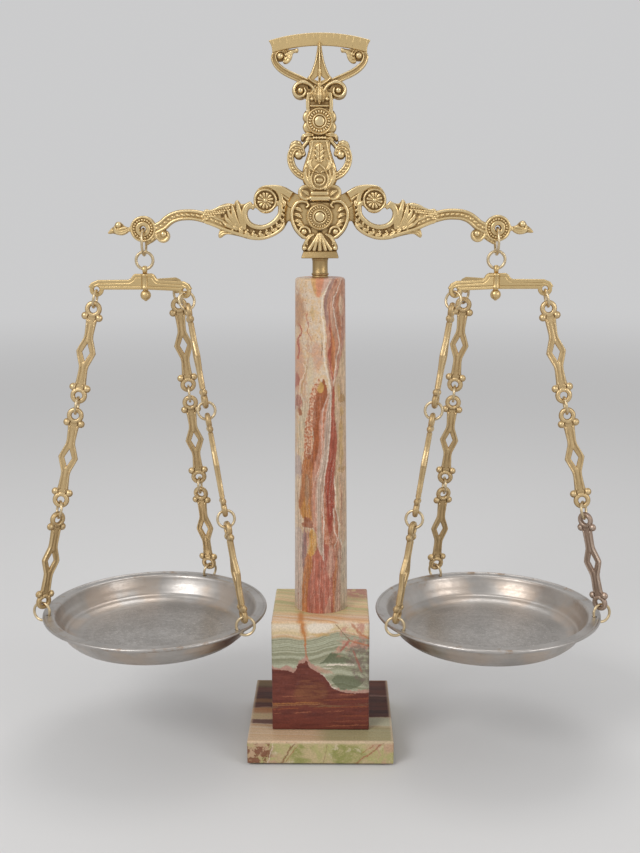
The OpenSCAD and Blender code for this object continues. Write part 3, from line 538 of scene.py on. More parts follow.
# %% Bands of the column's middle
RIGHT_FIELD = (SAND, 0.95, 0.9, [(166, 19, 18), (172, 17.6, 25), (183, 15.2, 25), (197, 14.7, 25),
                                 (208, 12.5, 25), (240, 12, 25), (310, 11.5, 25), (319, 13.8, 25),
                                 (328, 16, 25), (337, 18.4, 25), (350, 20.5, 25), (356, 22, 20)])
SPECKLED = [(246, -13, -12), (256, -13, -6.6), (267, -12.5, -6.4), (281.5, -11.6, -6.2), (291, -9.4, -5.4),
            (302, -8, -2.6), (309.6, -4.8, -0.4), (315, 0, -1)]
MIDDLE = [
    (RUST, 0.97, 0.6, [(238, -6, -7), (244, -13, -4), (256, -6.6, -0.3), (281.5, -6.2, 0.6),
                       (291, -5.4, 2.5), (297.5, -4, 4.7), (305, -2, 6), (310, 0.4, 4.8), (315, 3, 2)]),
    (OCHRE, 0.85, 0.7, [(303, 0.5, -1), (305, -1.8, 2), (310, -1.4, 2.2), (313, 1, -0.4)]),
    (BRICK, 0.95, 0.45, [(182, 8.5, 7.5), (189, 6.3, 9.7), (197, 5.4, 10.2), (206.8, 4.7, 11.1),
                         (216.5, 4.3, 12), (226, 4.1, 11.5), (235.7, 4.5, 11.4), (245.4, 5.9, 12),
                         (255, 7.5, 13.4), (264, 7.9, 13.8), (276.8, 8.8, 12.9), (286, 9.3, 12),
                         (295.6, 9.7, 11.5), (305, 9.9, 11.3), (313, 11.4, 10.6)]),
    (DARK_RED, 0.75, 0.8, [(190, 8.5, 7.5), (197, 6, 9.6), (206, 5.4, 10), (226, 5, 9.6), (240, 6.4, 10.4),
                           (250, 9, 8)]),
    (STRAW, 0.85, 0.7, [(240, 17.4, 16.4), (245, 15.8, 18.4), (262, 15.6, 18.2), (277, 16, 18),
                        (281, 17.4, 16.6)]),
    (STRAW, 0.8, 0.6, [(281.5, 17, 16), (284, 16, 18.2), (288, 16.2, 18.2), (291, 17, 16)]),
    ((0.42, 0.24, 0.08), 0.75, 0.6, [(293, 17, 16), (295.4, 14.6, 20), (299, 15.4, 19.4), (302, 17, 16)]),
    (STRAW, 0.8, 0.6, [(299, 15, 14), (302, 13.6, 16), (307, 13.8, 15.8), (310, 15, 14)]),
    ((0.46, 0.28, 0.1), 0.7, 0.4, [(236.5, 17, 16), (238.5, 14, 21), (240.5, 14.4, 21), (242, 17, 16)])]

# %% Bands of the column's foot
LOWER = [
    (LAVENDER, 0.8, 0.9, [(229, -17, -18), (234, -22, -15.4), (246, -22, -15.6), (250, -17, -18)]),
    (PALE, 0.8, 1.0, [(188, -17, -18), (193, -22, -15.2), (230, -22, -15.4), (234, -17, -18)]),
    ((0.58, 0.46, 0.38), 0.9, 0.9,
     [(112, -19, -16.5), (136, -22, -16), (160, -22, -14.8), (186, -22, -14.8), (191, -17, -18)]),
    ((0.43, 0.165, 0.06), 0.95, 0.7,
     [(195, -10, -12), (200, -15.4, -6.6), (230, -15.2, -6.4), (244, -14.6, -6.4), (252, -12, -13)]),
    ((0.5, 0.23, 0.06), 0.85, 0.9,
     [(196, -10, -12), (199, -15.4, -7), (208, -15.2, -8.4), (214, -13, -10.6), (218, -11, -12)]),
    ((0.36, 0.22, 0.12), 0.6, 0.7,
     [(208, -10.6, -11.4), (212, -11.8, -9.8), (232, -12, -9.6), (237, -10.6, -11.4)]),
    (ROSE, 0.9, 0.5, [(188, -5, -6), (194, -6.4, -3.9), (232, -6.4, -4), (242, -5.6, -2.6),
                      (258, -1.4, 0.8), (284, 0, 2.2), (290, 2, 1)]),
    ((0.31, 0.1, 0.05), 0.85, 0.5,
     [(189, -10, -12), (192, -15.6, -6.2), (195, -14, -5.8), (198, -13.6, -7), (200.5, -10, -12)]),
    (OCHRE, 0.8, 0.7, [(164, -7, -9), (168, -10.6, -6), (176, -9.6, -3), (184, -9, -2.6),
                       (189, -8.6, -5.6), (191, -7, -8)]),
    ((0.56, 0.27, 0.06), 0.9, 0.5, [(163, -8, -10), (167, -10, -7), (178, -8.2, -5.4), (187, -9, -6.2),
                                    (190, -7, -8)]),
    ((0.25, 0.14, 0.14), 0.8, 0.5,
     [(150, -14, -15), (158, -15.2, -12.4), (172, -15, -11), (184, -14.6, -11.4), (190.5, -13, -14)]),
    (ROSE, 0.8, 0.4, [(172, -10.6, -11.4), (176, -11.4, -9.8), (186, -11.2, -9.4), (190, -10.4, -11)]),
    ((0.42, 0.13, 0.085), 0.95, 0.9, [(110, -12.6, 12.5), (137, -11.4, 12), (152, -9.6, 12), (165, -8, 12),
                                      (173, -3, 8), (180, 2, 0)]),
    (PINK, 0.8, 0.8, [(147, 8, 7), (151, 6.4, 10.6), (165, 6, 11), (172, 7, 10), (178, 9, 8)]),
    (PINK, 0.8, 0.6, [(108, 3.4, 8.8), (122, 3.8, 8.4), (130, 6.6, 8), (134, 8, 7)]),
    ((0.46, 0.17, 0.055), 0.92, 0.6,
     [(110, -15.8, -11), (137, -15.6, -10.6), (150, -14.6, -8.6), (158, -13.6, -6.8), (165, -12, -7.6),
      (170, -10, -11)]),
    ((0.55, 0.22, 0.09), 0.85, 0.4,
     [(116, 10.6, 11.6), (124, 10.4, 12.4), (140, 10.2, 12.2), (149, 10.8, 12.8), (152, 12, 14.4),
      (163, 12.4, 14.2), (167, 13.6, 12.8)]),
    ((0.5, 0.35, 0.26), 0.8, 0.8,
     [(108, 12.4, 16.6), (140, 12.6, 16.6), (150, 14.4, 16.8), (168, 14.6, 16.6), (174, 16, 15)]),
    ((0.62, 0.53, 0.39), 0.9, 0.9, [(108, 16.6, 26), (160, 16.8, 26), (172, 17.4, 26), (178, 21, 20)])]

# %% The grey band and the threads
GREY_EDGES = [(166, 1.6, 0.8), (169.5, -0.3, 2), (177.5, -2.5, 1.5), (192, -3.5, 1.1), (206.8, -4.1, 1.4),
              (226, -3.7, 2), (235.7, -2.5, 3.4), (245.4, -0.3, 5.2), (256, 2.1, 6.9), (267, 2.9, 7.9),
              (281.5, 3.8, 8.2), (292, 5.6, 8.4), (301, 7.2, 8.2), (306, 8.4, 7.6)]
THREADS = [
    (WHITE, 0.85, 0.4, [(309, 10.5), (323, 12), (332, 13.4), (338, 15.2), (346, 14.7), (354, 13.4),
                        (363, 11.7), (368, 11.1), (376, 10.6), (385, 13.8), (392, 17), (398, 20)]),
    (WHITE, 0.8, 0.55, [(301, 8.6), (312, 7.4), (322, 5), (335, 3.2), (350, 3.4), (358, 2.6), (366, 1.2),
                        (374, 1.7), (379, 2), (385, 4.8), (392, 8)]),
    (BRICK, 0.7, 0.35, [(352, 8.4), (360, 7.6), (368, 7.2), (376, 7.6), (384, 9.6), (394, 14)]),
    (BRICK, 0.6, 0.35, [(316, 12.6), (326, 14.8), (336, 16.8), (348, 18), (362, 17.6)]),
    ((0.66, 0.45, 0.37), 0.7, 0.35, [(313, 11.8), (322, 13.4), (332, 15.8), (342, 17.2), (352, 16.8)]),
    ((0.26, 0.17, 0.14), 0.8, 0.22, [(258, 4.4), (270, 4.8), (284, 5.4), (290, 7), (296, 8), (304, 8)]),
    (WHITE, 0.85, 0.45, [(163, 2.5), (169.5, 2.6), (182, 2.3), (197, 2.9), (205, 2.5), (214.6, 2),
                         (226, 2.9), (237.7, 4.1), (247, 5.6), (259, 7), (272, 8.1), (291, 8.4),
                         (304, 8.8)]),
    ((0.64, 0.47, 0.38), 0.85, 0.4,
     [(230, -4.4), (238, -2.6), (245, -0.4), (255, 1.5), (272, 1.4), (286, 2), (293, 3.8), (301, 6.4)]),
    (WHITE, 0.85, 0.4, [(172.5, 17.6), (177.5, 17), (183, 15.2), (191, 15.6), (197, 14.7), (203, 13.4),
                        (208, 12.5), (213, 12.9), (218, 12.3), (224, 12.5), (229, 11.5), (234, 11.8)]),
    (WHITE, 0.7, 0.5, [(173, 11), (177, 12.5), (180.4, 14.2), (187, 11.6), (195, 11.5), (201, 11),
                       (207, 10.7)]),
    (TERRACOTTA, 0.6, 0.4, [(190, 17.4), (200, 16.6), (212, 17.4), (224, 16.4), (234, 16.2)]),
    ((0.42, 0.31, 0.2), 0.6, 0.35, [(194, 16.2), (204, 15.2), (216, 14.6), (228, 14.2), (236, 15)]),
    ((0.4, 0.12, 0.08), 0.85, 0.35, [(344.7, -6.6), (347.5, -8), (353, -10.3), (358, -8.9), (362, -10.7),
                                      (367, -9.8)]),
    ((0.4, 0.1, 0.07), 0.9, 0.6, [(330, -18.5), (337.5, -17), (343, -18), (350, -15.8), (355, -15.2),
                                    (358, -17.5)]),
    ((0.44, 0.28, 0.12), 0.8, 0.35, [(301, -15), (309.6, -14.6), (316, -12.2), (322.6, -10.1), (328, -13)]),
    ((0.74, 0.6, 0.44), 0.8, 0.45,
     [(302, -16), (309.6, -15.8), (316, -13.5), (322.6, -11.3), (327, -13.6)]),
    ((0.1, 0.04, 0.02), 0.85, 0.2, [(333, 1.8), (347, 1.4)])]


print("bands", len(UPPER_LEFT + UPPER_RIGHT + TOP_PATCH + MIDDLE + LOWER), "threads", len(THREADS))


def thread(wires, across, along, points, half):
    """A mask along a thin drawn line, given as (along, across)."""
    off = wires.minus(across, drawn_curve(wires, along, points))
    return wires.times(near_to(wires, off, 0.0, half, 0.4),
                  wires.between(along, float(points[0][0]), float(points[-1][0]), 1.5))


# %% The column's onyx
def column_onyx():
    material, wires, shader, where = new_material("onyx_column")
    x, y, z = in_mm(wires, where)
    behind = wires.span(y, -8.0, 18.0)
    x = wires.math("MULTIPLY_ADD", behind, 9.0, x)
    z = wires.math("MULTIPLY_ADD", behind, 60.0, z)
    upright = stretched(wires, where, (1.0, 1.0, 0.45))
    swaying = wires.group(SWAY, Level=x, Place=upright, Size=95.0, Sway=0.45, Ruffle=0.7)[0]
    high = wires.group(SWAY, Level=z, Place=where, Size=90.0, Sway=1.6, Ruffle=1.6)[0]
    level = wires.minus(swaying, drawn_curve(wires, z, RUN_OF_BANDS))
    line = wires.group(LINES, Level=level, Pitch=3.4)
    hair = wires.group(LINES, Level=level, Pitch=1.5)
    mottle = wires.noise(where, 240.0, 5.0, 0.7)
    grains = wires.noise(where, 560.0, 3.0, 0.7)
    coming = wires.span(wires.noise(upright, 70.0, 2.0, 0.5), 0.4, 0.6)

    colour = wires.mix(wires.span(mottle, 0.4, 0.6), (0.72, 0.58, 0.44), (0.6, 0.42, 0.25))
    worms = wires.math("ABSOLUTE", wires.minus(wires.noise(upright, 150.0, 2.5, 0.55, 1.5), 0.5))
    to_left = wires.times(wires.span(swaying, -2.0, -9.0), wires.span(high, 250.0, 275.0))
    colour = wires.mix(wires.times(to_left, wires.span(worms, 0.09, 0.02), coming, 0.6), colour,
                       (0.47, 0.24, 0.16))
    specks = wires.times(wires.span(grains, 0.6, 0.66), wires.span(high, 318.0, 345.0))
    colour = wires.mix(wires.times(specks, 0.7), colour, (0.34, 0.15, 0.08))
    colour = strips(wires, colour, swaying, high, UPPER_LEFT)

    right = wires.times(wires.span(level, -0.4, 0.5), wires.span(high, 296.0, 302.0))
    banded = wires.mix(line["Bands"], (0.49, 0.24, 0.15), (0.58, 0.33, 0.22))
    banded = wires.mix(wires.times(line["Dark lines"], 0.55), banded, (0.4, 0.17, 0.11))
    colour = wires.mix(right, colour, banded)
    colour = strips(wires, colour, swaying, high, UPPER_RIGHT + TOP_PATCH)

    low = wires.span(high, 306.0, 296.0)
    middle = wires.times(low, wires.span(swaying, -6.0, -4.0))
    colour = wires.mix(middle, colour, wires.mix(wires.span(mottle, 0.42, 0.58), TERRACOTTA, ROSE))
    colour = strips(wires, colour, swaying, high, [RIGHT_FIELD])
    fringe = wires.times(wires.span(swaying, 12.0, 14.0), wires.span(high, 325.0, 300.0))
    colour = wires.mix(wires.times(fringe, line["Bands"], 0.5), colour, (0.6, 0.4, 0.29))
    speckled = strip(wires, swaying, high, SPECKLED, 1.2)[0]
    grainy = wires.mix(wires.span(grains, 0.42, 0.56), (0.64, 0.43, 0.29), TERRACOTTA)
    colour = wires.mix(broken(wires, speckled, grains, 0.5), colour, grainy)
    colour = strips(wires, colour, swaying, high, MIDDLE + LOWER)

    grey, grey_left, grey_right = strip(wires, swaying, high, GREY_EDGES, 0.5)
    wide = wires.math("MAXIMUM", wires.minus(grey_right, grey_left), 0.5)
    share = wires.math("DIVIDE", wires.minus(swaying, grey_left), wide)
    layered = wires.mix(wires.span(wires.along(share, 3.0, 2.0), 0.4, 0.6), (0.42, 0.3, 0.22),
                        (0.54, 0.4, 0.31))
    for at, thick, tint, strength in (
            (0.12, 0.05, ROSE, 0.7), (0.3, 0.04, (0.62, 0.5, 0.4), 0.7),
            (0.46, 0.04, (0.27, 0.19, 0.15), 0.6), (0.62, 0.05, (0.62, 0.48, 0.38), 0.7),
            (0.78, 0.03, (0.33, 0.2, 0.15), 0.5)):
        layered = wires.mix(wires.times(near_to(wires, share, at, thick, 0.05), strength), layered, tint)
    colour = wires.mix(grey, colour, layered)
    for tint, strength, half, points in THREADS:
        mask = thread(wires, swaying, high, points, half)
        colour = wires.mix(wires.times(mask, strength), colour, tint)

    banding = wires.math("MAXIMUM", right, low)
    colour = wires.mix(wires.times(banding, hair["Pale lines"], coming, 0.5), colour, (0.74, 0.58, 0.46))
    colour = wires.mix(wires.times(banding, hair["Dark lines"], 0.42), colour, (0.27, 0.08, 0.045))
    foot = wires.span(high, 176.0, 164.0)
    colour = wires.mix(wires.times(foot, hair["Dark lines"], coming, 0.5), colour, (0.26, 0.07, 0.045))
    colour = wires.mix(wires.times(foot, line["Pale lines"], 0.35), colour, (0.7, 0.52, 0.43))
    colour = wires.mix(wires.times(wires.span(grains, 0.4, 0.3), low, 0.2), colour, PALE)
    streaks = wires.noise(stretched(wires, where, (1.0, 1.0, 0.12)), 520.0, 3.0, 0.6)
    streaked = wires.math("MULTIPLY_ADD", wires.span(streaks, 0.32, 0.68, -0.2, 0.14), banding, 1.0)
    uneven = wires.times(streaked, wires.span(mottle, 0.34, 0.66, 0.86, 1.1))
    colour = wires.node("VectorMath", {0: colour, "Scale": uneven}, operation="SCALE").outputs[0]
    polish(wires, shader, where, colour, 0.2)
    return material


# %% [markdown]
# The plinth is maroon below a jagged border and grey-green above it, with thin rust layers, white lines, a
# cream cap and a few orange veins that run down from the top. Its top face shows the ends of the layers.

# %% The plinth block's onyx
MAROON, MAROON_PALE = (0.125, 0.036, 0.027), (0.185, 0.055, 0.038)
GREEN_GREY, GREEN_PALE, DARK_GREEN = (0.27, 0.265, 0.17), (0.42, 0.42, 0.3), (0.12, 0.135, 0.075)
BORDER = [(-40.3, 76), (-28, 75), (-20, 75), (-18.6, 79.6), (-16.6, 81.2), (-13.6, 81.4), (-12, 83.4),
          (-10.4, 79.6), (-6, 76), (-1, 72.4), (3, 69.6), (6.4, 64), (9.6, 59.6), (13, 57.8), (18, 56),
          (40.3, 55.4)]
LAYER_LIFT = [(-41, 0), (-26, 0.6), (-14, -0.6), (-4, 1), (8, 4.6), (16, 6.2), (24, 4), (32, 2.4), (41, 2)]


def block_onyx(top_z):
    material, wires, shader, where = new_material("onyx_block")
    x, y, z = in_mm(wires, where)
    ragged = wires.group(SWAY, Level=z, Place=where, Size=120.0, Sway=0.4, Ruffle=0.75)[0]
    wavy_x = wires.group(SWAY, Level=x, Place=where, Size=90.0, Sway=0.7, Ruffle=0.6)[0]
    over = wires.minus(ragged, drawn_curve(wires, wavy_x, BORDER))
    clouds = wires.noise(where, 50.0, 3.0, 0.6)
    mottle = wires.noise(where, 200.0, 5.0, 0.7)
    flat = stretched(wires, where, (0.16, 0.16, 1.0))
    streaks = wires.noise(flat, 380.0, 4.0, 0.6, 0.3)

    low = wires.mix(wires.span(streaks, 0.34, 0.68), MAROON, MAROON_PALE)
    low = wires.mix(wires.times(wires.span(mottle, 0.5, 0.75), 0.3), low, (0.18, 0.085, 0.08))
    warm = wires.times(wires.span(ragged, 54.0, 44.0), wires.span(streaks, 0.4, 0.6))
    low = wires.mix(wires.times(warm, 0.6), low, (0.165, 0.043, 0.03))
    cloud = strip(wires, wires.math("MULTIPLY_ADD", clouds, 12.0, ragged), wavy_x,
                  [(-24, 60, 56), (-18, 54, 68), (-8, 52, 72), (2, 54, 68), (8, 60, 58)], 5.0)[0]
    low = wires.mix(wires.times(cloud, wires.span(streaks, 0.3, 0.6), 0.6), low, (0.24, 0.1, 0.045))
    tilted = wires.math("MULTIPLY_ADD", x, -0.035, ragged)
    for tint, at, thick, strength, seen in (
            ((0.36, 0.15, 0.05), 46.4, 0.5, 0.9, wires.span(wavy_x, 4.0, -8.0)),
            ((0.4, 0.2, 0.08), 44.9, 0.35, 0.7, wires.span(x, 8.0, -2.0)),
            (BROWN, 43.2, 0.9, 0.8, wires.span(streaks, 0.55, 0.4)),
            (RUST, 41.6, 0.4, 0.6, wires.span(clouds, 0.4, 0.5)),
            (SALMON, 52.6, 0.35, 0.5, wires.span(clouds, 0.46, 0.56)),
            (SALMON, 38.0, 0.4, 0.5, wires.span(clouds, 0.55, 0.45)),
            (RUST, 48.6, 0.6, 0.45, wires.span(wavy_x, -4.0, 8.0)),
            (SALMON, 29.0, 0.3, 0.3, wires.span(wavy_x, 4.0, 14.0)),
            (RUST, 33.5, 0.5, 0.35, wires.span(wavy_x, 8.0, 24.0)),
            (SALMON, 25.0, 0.4, 0.5, wires.span(wavy_x, 0.0, 12.0))):
        low = wires.mix(wires.times(near_to(wires, tilted, at, thick, 0.4), seen, strength), low, tint)

    lifted = wires.minus(z, drawn_curve(wires, x, LAYER_LIFT))
    level = wires.group(SWAY, Level=lifted, Place=stretched(wires, where, (0.7, 0.7, 1.0)), Size=60.0,
                        Sway=1.3, Ruffle=0.3)[0]
    line = wires.group(LINES, Level=level, Pitch=5.0)
    hair = wires.group(LINES, Level=level, Pitch=2.4)
    high = wires.mix(line["Bands"], GREEN_GREY, GREEN_PALE)
    high = wires.mix(wires.times(hair["Dark lines"], 0.45), high, (0.19, 0.19, 0.12))
    high = wires.mix(wires.times(hair["Pale lines"], 0.5), high, (0.55, 0.53, 0.4))
    high = strips(wires, high, ragged, wavy_x, [
        (DARK_GREEN, 0.85, 0.7, [(-3, 80, 79), (4, 81, 84.6), (9.4, 81.2, 90.4), (16, 81.4, 87.6),
                                 (23.4, 81.4, 84.4), (30, 81, 80)]),
        (DARK_GREEN, 0.75, 0.9, [(8, 66, 65), (12, 62, 69.6), (16, 58.6, 70.6), (22, 58, 70.2),
                                 (28, 59, 70), (33, 62, 69.6), (36, 66, 65)]),
        (WHITE, 0.9, 0.4, [(3, 79.2, 78.8), (7, 79, 80.2), (18, 79, 80.3), (27, 79.2, 80.2),
                           (30, 79.4, 79)]),
        (WHITE, 0.6, 0.4, [(-2, 77, 76), (2, 76.2, 77), (9, 76.2, 77.2), (13, 77, 76)]),
        (PINK, 0.6, 1.2, [(-7, 78, 77), (-4, 76, 79), (4, 72, 75.6), (10, 72, 73), (13, 70, 68)])])
    cream = wires.span(level, 102.6, 104.4)
    high = wires.mix(cream, high, wires.mix(line["Bands"], (0.74, 0.62, 0.47), (0.66, 0.51, 0.3)))
    edge_of_cream = near_to(wires, level, 103.6, 1.0, 1.2)
    high = wires.mix(wires.times(edge_of_cream, wires.span(clouds, 0.36, 0.56), 0.75), high,
                     (0.58, 0.34, 0.17))
    high = strips(wires, high, ragged, wavy_x, [
        (WHITE, 0.85, 1.2, [(-12, 112, 110), (-7, 107, 116), (3, 107.6, 117), (8, 110, 116),
                            (12, 113, 112)]),
        (OCHRE, 0.6, 0.8, [(-9, 107, 106), (-4, 104.6, 107), (4, 105, 107.4), (9, 106, 105)])])
    rosy = wires.span(wires.noise(where, 120.0, 4.0, 0.65, 0.6), 0.42, 0.56)
    pinks = strip(wires, ragged, wavy_x, [(9, 92, 90), (13, 87, 96), (18, 88, 112), (26, 94, 118),
                                          (41, 90, 118)], 2.5)[0]
    high = wires.mix(wires.times(rosy, pinks, 0.85), high, (0.54, 0.27, 0.2))
    murky = strip(wires, ragged, wavy_x, [(18, 86, 84), (24, 78, 94), (30, 66, 100), (41, 60, 102)], 3.0)[0]
    high = wires.mix(wires.times(murky, wires.span(mottle, 0.36, 0.6), 0.85), high, (0.2, 0.15, 0.12))
    high = wires.mix(wires.times(murky, wires.span(mottle, 0.66, 0.74), 0.9), high, (0.52, 0.36, 0.3))
    high = veins_in(wires, high, wavy_x, ragged, [
        (ORANGE, 0.85, 1.3, (-15, top_z), (-13.4, 106)), (ORANGE, 0.85, 0.8, (-13.4, 106), (-12.4, 96)),
        (SALMON, 0.8, 0.6, (-12.4, 98), (-11, 83)), (ORANGE, 0.5, 2.6, (-14.6, top_z), (-13, 103)),
        (BROWN, 0.75, 0.35, (12.4, 115), (24, 101)), (MAUVE, 0.8, 0.9, (24, 101), (15.6, 91)),
        (SALMON, 0.8, 0.7, (24, 101), (41, 96)), (SALMON, 0.7, 1.1, (25.4, 116), (34, 106)),
        (ORANGE, 0.7, 0.7, (34, 106), (41, 102)), (MAUVE, 0.6, 0.8, (27, 92), (34, 74))])

    on_top = wires.span(z, top_z - 2.5, top_z - 0.6)
    slanted = wires.math("MULTIPLY_ADD", x, 0.22, y)
    lengths = wires.group(SWAY, Level=slanted, Place=where, Size=45.0, Sway=2.2, Ruffle=0.6)[0]
    veins = wires.group(LINES, Level=lengths, Pitch=8.0)
    top = wires.mix(veins["Bands"], (0.4, 0.36, 0.15), CREAM)
    top = wires.mix(wires.span(y, -18.0, -30.0), top, wires.mix(veins["Bands"], PALE, (0.62, 0.36, 0.18)))
    top = wires.mix(wires.times(veins["Dark lines"], 0.6), top, (0.52, 0.26, 0.11))
    top = wires.mix(wires.times(veins["Pale lines"], wires.span(x, 5.0, 20.0), 0.75), top,
                    (0.45, 0.2, 0.14))
    top = wires.mix(wires.times(near_to(wires, wavy_x, -16.5, 2.2, 2.0), wires.span(y, -10.0, -28.0), 0.9),
                    top, ORANGE)
    corner = wires.times(wires.span(lengths, 18.0, 30.0), wires.span(x, 14.0, 26.0))
    top = wires.mix(wires.times(corner, wires.span(mottle, 0.35, 0.5), 0.8), top, (0.38, 0.13, 0.1))
    high = wires.mix(wires.times(on_top, 0.92), high, top)

    colour = wires.mix(wires.span(over, -0.3, 0.3), low, high)
    edge_w = wires.span(wires.noise(where, 110.0, 3.0, 0.65), 0.35, 0.65, 0.4, 4.2)
    rim = wires.times(wires.span(over, -0.5, 0.2), wires.span(wires.minus(over, edge_w), 0.5, -0.5))
    rim_white = wires.times(wires.span(mottle, 0.4, 0.6), near_to(wires, x, 6.0, 7.0, 3.0))
    rim_tint = wires.mix(rim_white, (0.47, 0.25, 0.2), WHITE)
    colour = wires.mix(wires.times(rim, 0.85), colour, rim_tint)
    polish(wires, shader, where, colour, 0.16)
    return material


# %% [markdown]
# The slab's edge is pale olive with darker clouds. Its top shows broad stripes, from cream to nearly black
# maroon, which differ on the two sides of the block.

# %% The slab's onyx
OLIVE, OLIVE_PALE = (0.27, 0.27, 0.09), (0.44, 0.4, 0.18)


def slab_onyx(top_z, half):
    material, wires, shader, where = new_material("onyx_slab")
    x, y, z = in_mm(wires, where)
    wavy_x = wires.group(SWAY, Level=x, Place=where, Size=90.0, Sway=1.6, Ruffle=1.0)[0]
    ragged = wires.group(SWAY, Level=z, Place=where, Size=120.0, Sway=0.8, Ruffle=0.8)[0]
    clouds = wires.noise(where, 70.0, 4.0, 0.65, 0.6)
    blots = wires.noise(where, 130.0, 4.0, 0.65)
    side = wires.mix(wires.span(clouds, 0.4, 0.6), OLIVE_PALE, (0.52, 0.41, 0.23))
    left_green = strip(wires, ragged, wavy_x, [(-26, 9, 7), (-20, 2, 16), (-10, 3, 20), (-4, 9, 7)], 4.0)[0]
    right_green = strip(wires, ragged, wavy_x, [(8, 9, 7), (14, 0, 20), (30, 0, 18), (38, 9, 7)], 4.0)[0]
    greens = wires.math("MAXIMUM", left_green, right_green)
    side = wires.mix(wires.times(greens, wires.span(clouds, 0.62, 0.4), 0.85), side, OLIVE)
    side = wires.mix(wires.times(wires.span(blots, 0.56, 0.66), 0.7), side, (0.62, 0.52, 0.36))
    red_spots = wires.times(wires.between(wavy_x, -62, -40, 3), wires.span(blots, 0.45, 0.52))
    side = wires.mix(wires.times(red_spots, 0.85), side, (0.2, 0.06, 0.04))
    rose = wires.times(wires.math("MAXIMUM", wires.span(x, 34.0, 48.0), wires.between(x, -62, -34, 4)),
                  wires.span(clouds, 0.44, 0.56))
    side = wires.mix(wires.times(rose, wires.minus(1.0, red_spots), 0.65), side, (0.5, 0.3, 0.21))
    side = veins_in(wires, side, wavy_x, ragged, [
        (BROWN, 0.85, 0.7, (-22, 20), (-32, 1)), (RUST, 0.6, 0.35, (-19, 18), (-28, 3)),
        ((0.36, 0.15, 0.09), 0.85, 0.6, (50, 19), (29, 2)), (RUST, 0.6, 0.35, (44, 19), (34, 11)),
        (WHITE, 0.5, 0.4, (-38, 20), (-44, 0)), (BROWN, 0.6, 0.3, (6, 21), (2, 2))])

    along = wires.group(SWAY, Level=wires.math("MULTIPLY_ADD", x, 0.05, y), Place=where, Size=45.0,
                        Sway=1.7, Ruffle=0.5)[0]
    line = wires.group(LINES, Level=along, Pitch=8.0)
    hair = wires.group(LINES, Level=along, Pitch=2.6)
    top = wires.mix(line["Bands"], (0.56, 0.35, 0.19), (0.62, 0.48, 0.31))
    top = wires.mix(wires.times(hair["Dark lines"], 0.6), top, (0.46, 0.22, 0.13))
    top = wires.mix(wires.times(hair["Pale lines"], 0.5), top, WHITE)
    left_side, right_side = wires.span(x, 10.0, -10.0), wires.span(x, -10.0, 10.0)
    dark = wires.mix(line["Bands"], (0.06, 0.017, 0.012), (0.13, 0.036, 0.02))
    dark = wires.mix(wires.times(hair["Pale lines"], 0.35), dark, (0.3, 0.12, 0.05))
    stripes = (
        (MAROON, 0.9, left_side, -31, -23, 1.0), (CREAM, 0.85, left_side, -22, -11, 1.5),
        (ORANGE, 0.7, left_side, -10, 0, 2.5), (dark, 1.0, left_side, 0, 70, 2.0),
        ((0.3, 0.13, 0.04), 0.8, left_side, 10, 17, 2.0), ((0.2, 0.14, 0.06), 0.7, left_side, 42, 70, 4.0),
        ((0.3, 0.3, 0.15), 0.7, right_side, -60, -30, 5.0),
        ((0.5, 0.49, 0.34), 0.9, right_side, -29, -14, 1.5),
        (dark, 1.0, right_side, -13, 70, 1.2), ((0.34, 0.17, 0.12), 0.6, right_side, 27, 30, 1.0))
    for tint, strength, side_mask, low, high, soft in stripes:
        top = wires.mix(wires.times(wires.between(along, low, high, soft), side_mask, strength), top, tint)
    colour = wires.mix(wires.span(z, top_z - 2.4, top_z - 0.6), side, top)
    # A pale strip along the top edges: a painted highlight on the rounded arris.
    out_x = wires.span(wires.math("ABSOLUTE", x), half - 3.0, half - 0.8)
    out_y = wires.span(wires.math("ABSOLUTE", y), half - 3.0, half - 0.8)
    arris_highlight = wires.times(wires.math("MAXIMUM", out_x, out_y), wires.span(z, top_z - 3.0, top_z - 1.2))
    colour = wires.mix(wires.times(arris_highlight, 0.55), colour, PALE)
    polish(wires, shader, where, colour, 0.1)
    return material


# %% Cut the three stones
slab_high, block_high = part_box("base_slab")[1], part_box("plinth_block")[1]
stone = {
    "column": column_onyx(),
    "plinth_block": block_onyx(block_high[2] / MM),
    "base_slab": slab_onyx(slab_high[2] / MM, slab_high[0] / MM),
}
print("stones", [m.name for m in stone.values()])

# %% [markdown]
# ## Felt
# A pad of felt under the slab keeps it from scratching the table. Only its edge shows, so a fuzzy noise and
# some sheen are enough.

# %% Felt
felt, wires, shader, where = new_material("felt")
fuzz = wires.noise(where, 1600.0, 4.0, 0.8)
wires.feed(shader["Base Color"],
           wires.mix(wires.span(fuzz, 0.3, 0.7), (0.03, 0.045, 0.03), (0.08, 0.1, 0.07)))
shader["Roughness"].default_value = 0.95
shader["Sheen Weight"].default_value = 0.4
wires.feed(shader["Normal"], bump(wires, fuzz, 0.6, 0.0003))
print("felt ready")

# %% [markdown]
# ## Mesh helpers
# Every piece below is a list of points and faces worked out with arrays, which is quick even for fine
# castings. The points are in millimetres in the plane of the head: x to the right, y up from the pivot and
# z toward the front. One function turns them upright and puts them in metres.

# %% Meshes from arrays
def to_world(points):
    """From the head's plane, in millimetres about the pivot, to the frame in metres."""
    return np.stack([points[:, 0], -points[:, 2], PIVOT_Z + points[:, 1]], axis=1) * MM


def mirrored(points, faces, axis=0):
    flipped = points.copy()
    flipped[:, axis] *= -1
    return flipped, [f[:, ::-1] for f in faces]


def joined(*parts):
    """Several (points, faces) as one."""
    points, faces, count = [], [], 0
    for p, fs in parts:
        points.append(p)
        faces += [f + count for f in fs]
        count += len(p)
    return np.concatenate(points), faces


def joined_marked(parts):
    """Several (points, faces, marks) as one."""
    points, faces = joined(*[(p, f) for p, f, _ in parts])
    return points, faces, {title: np.concatenate([m[title] for _, _, m in parts]) for title in MARKS}


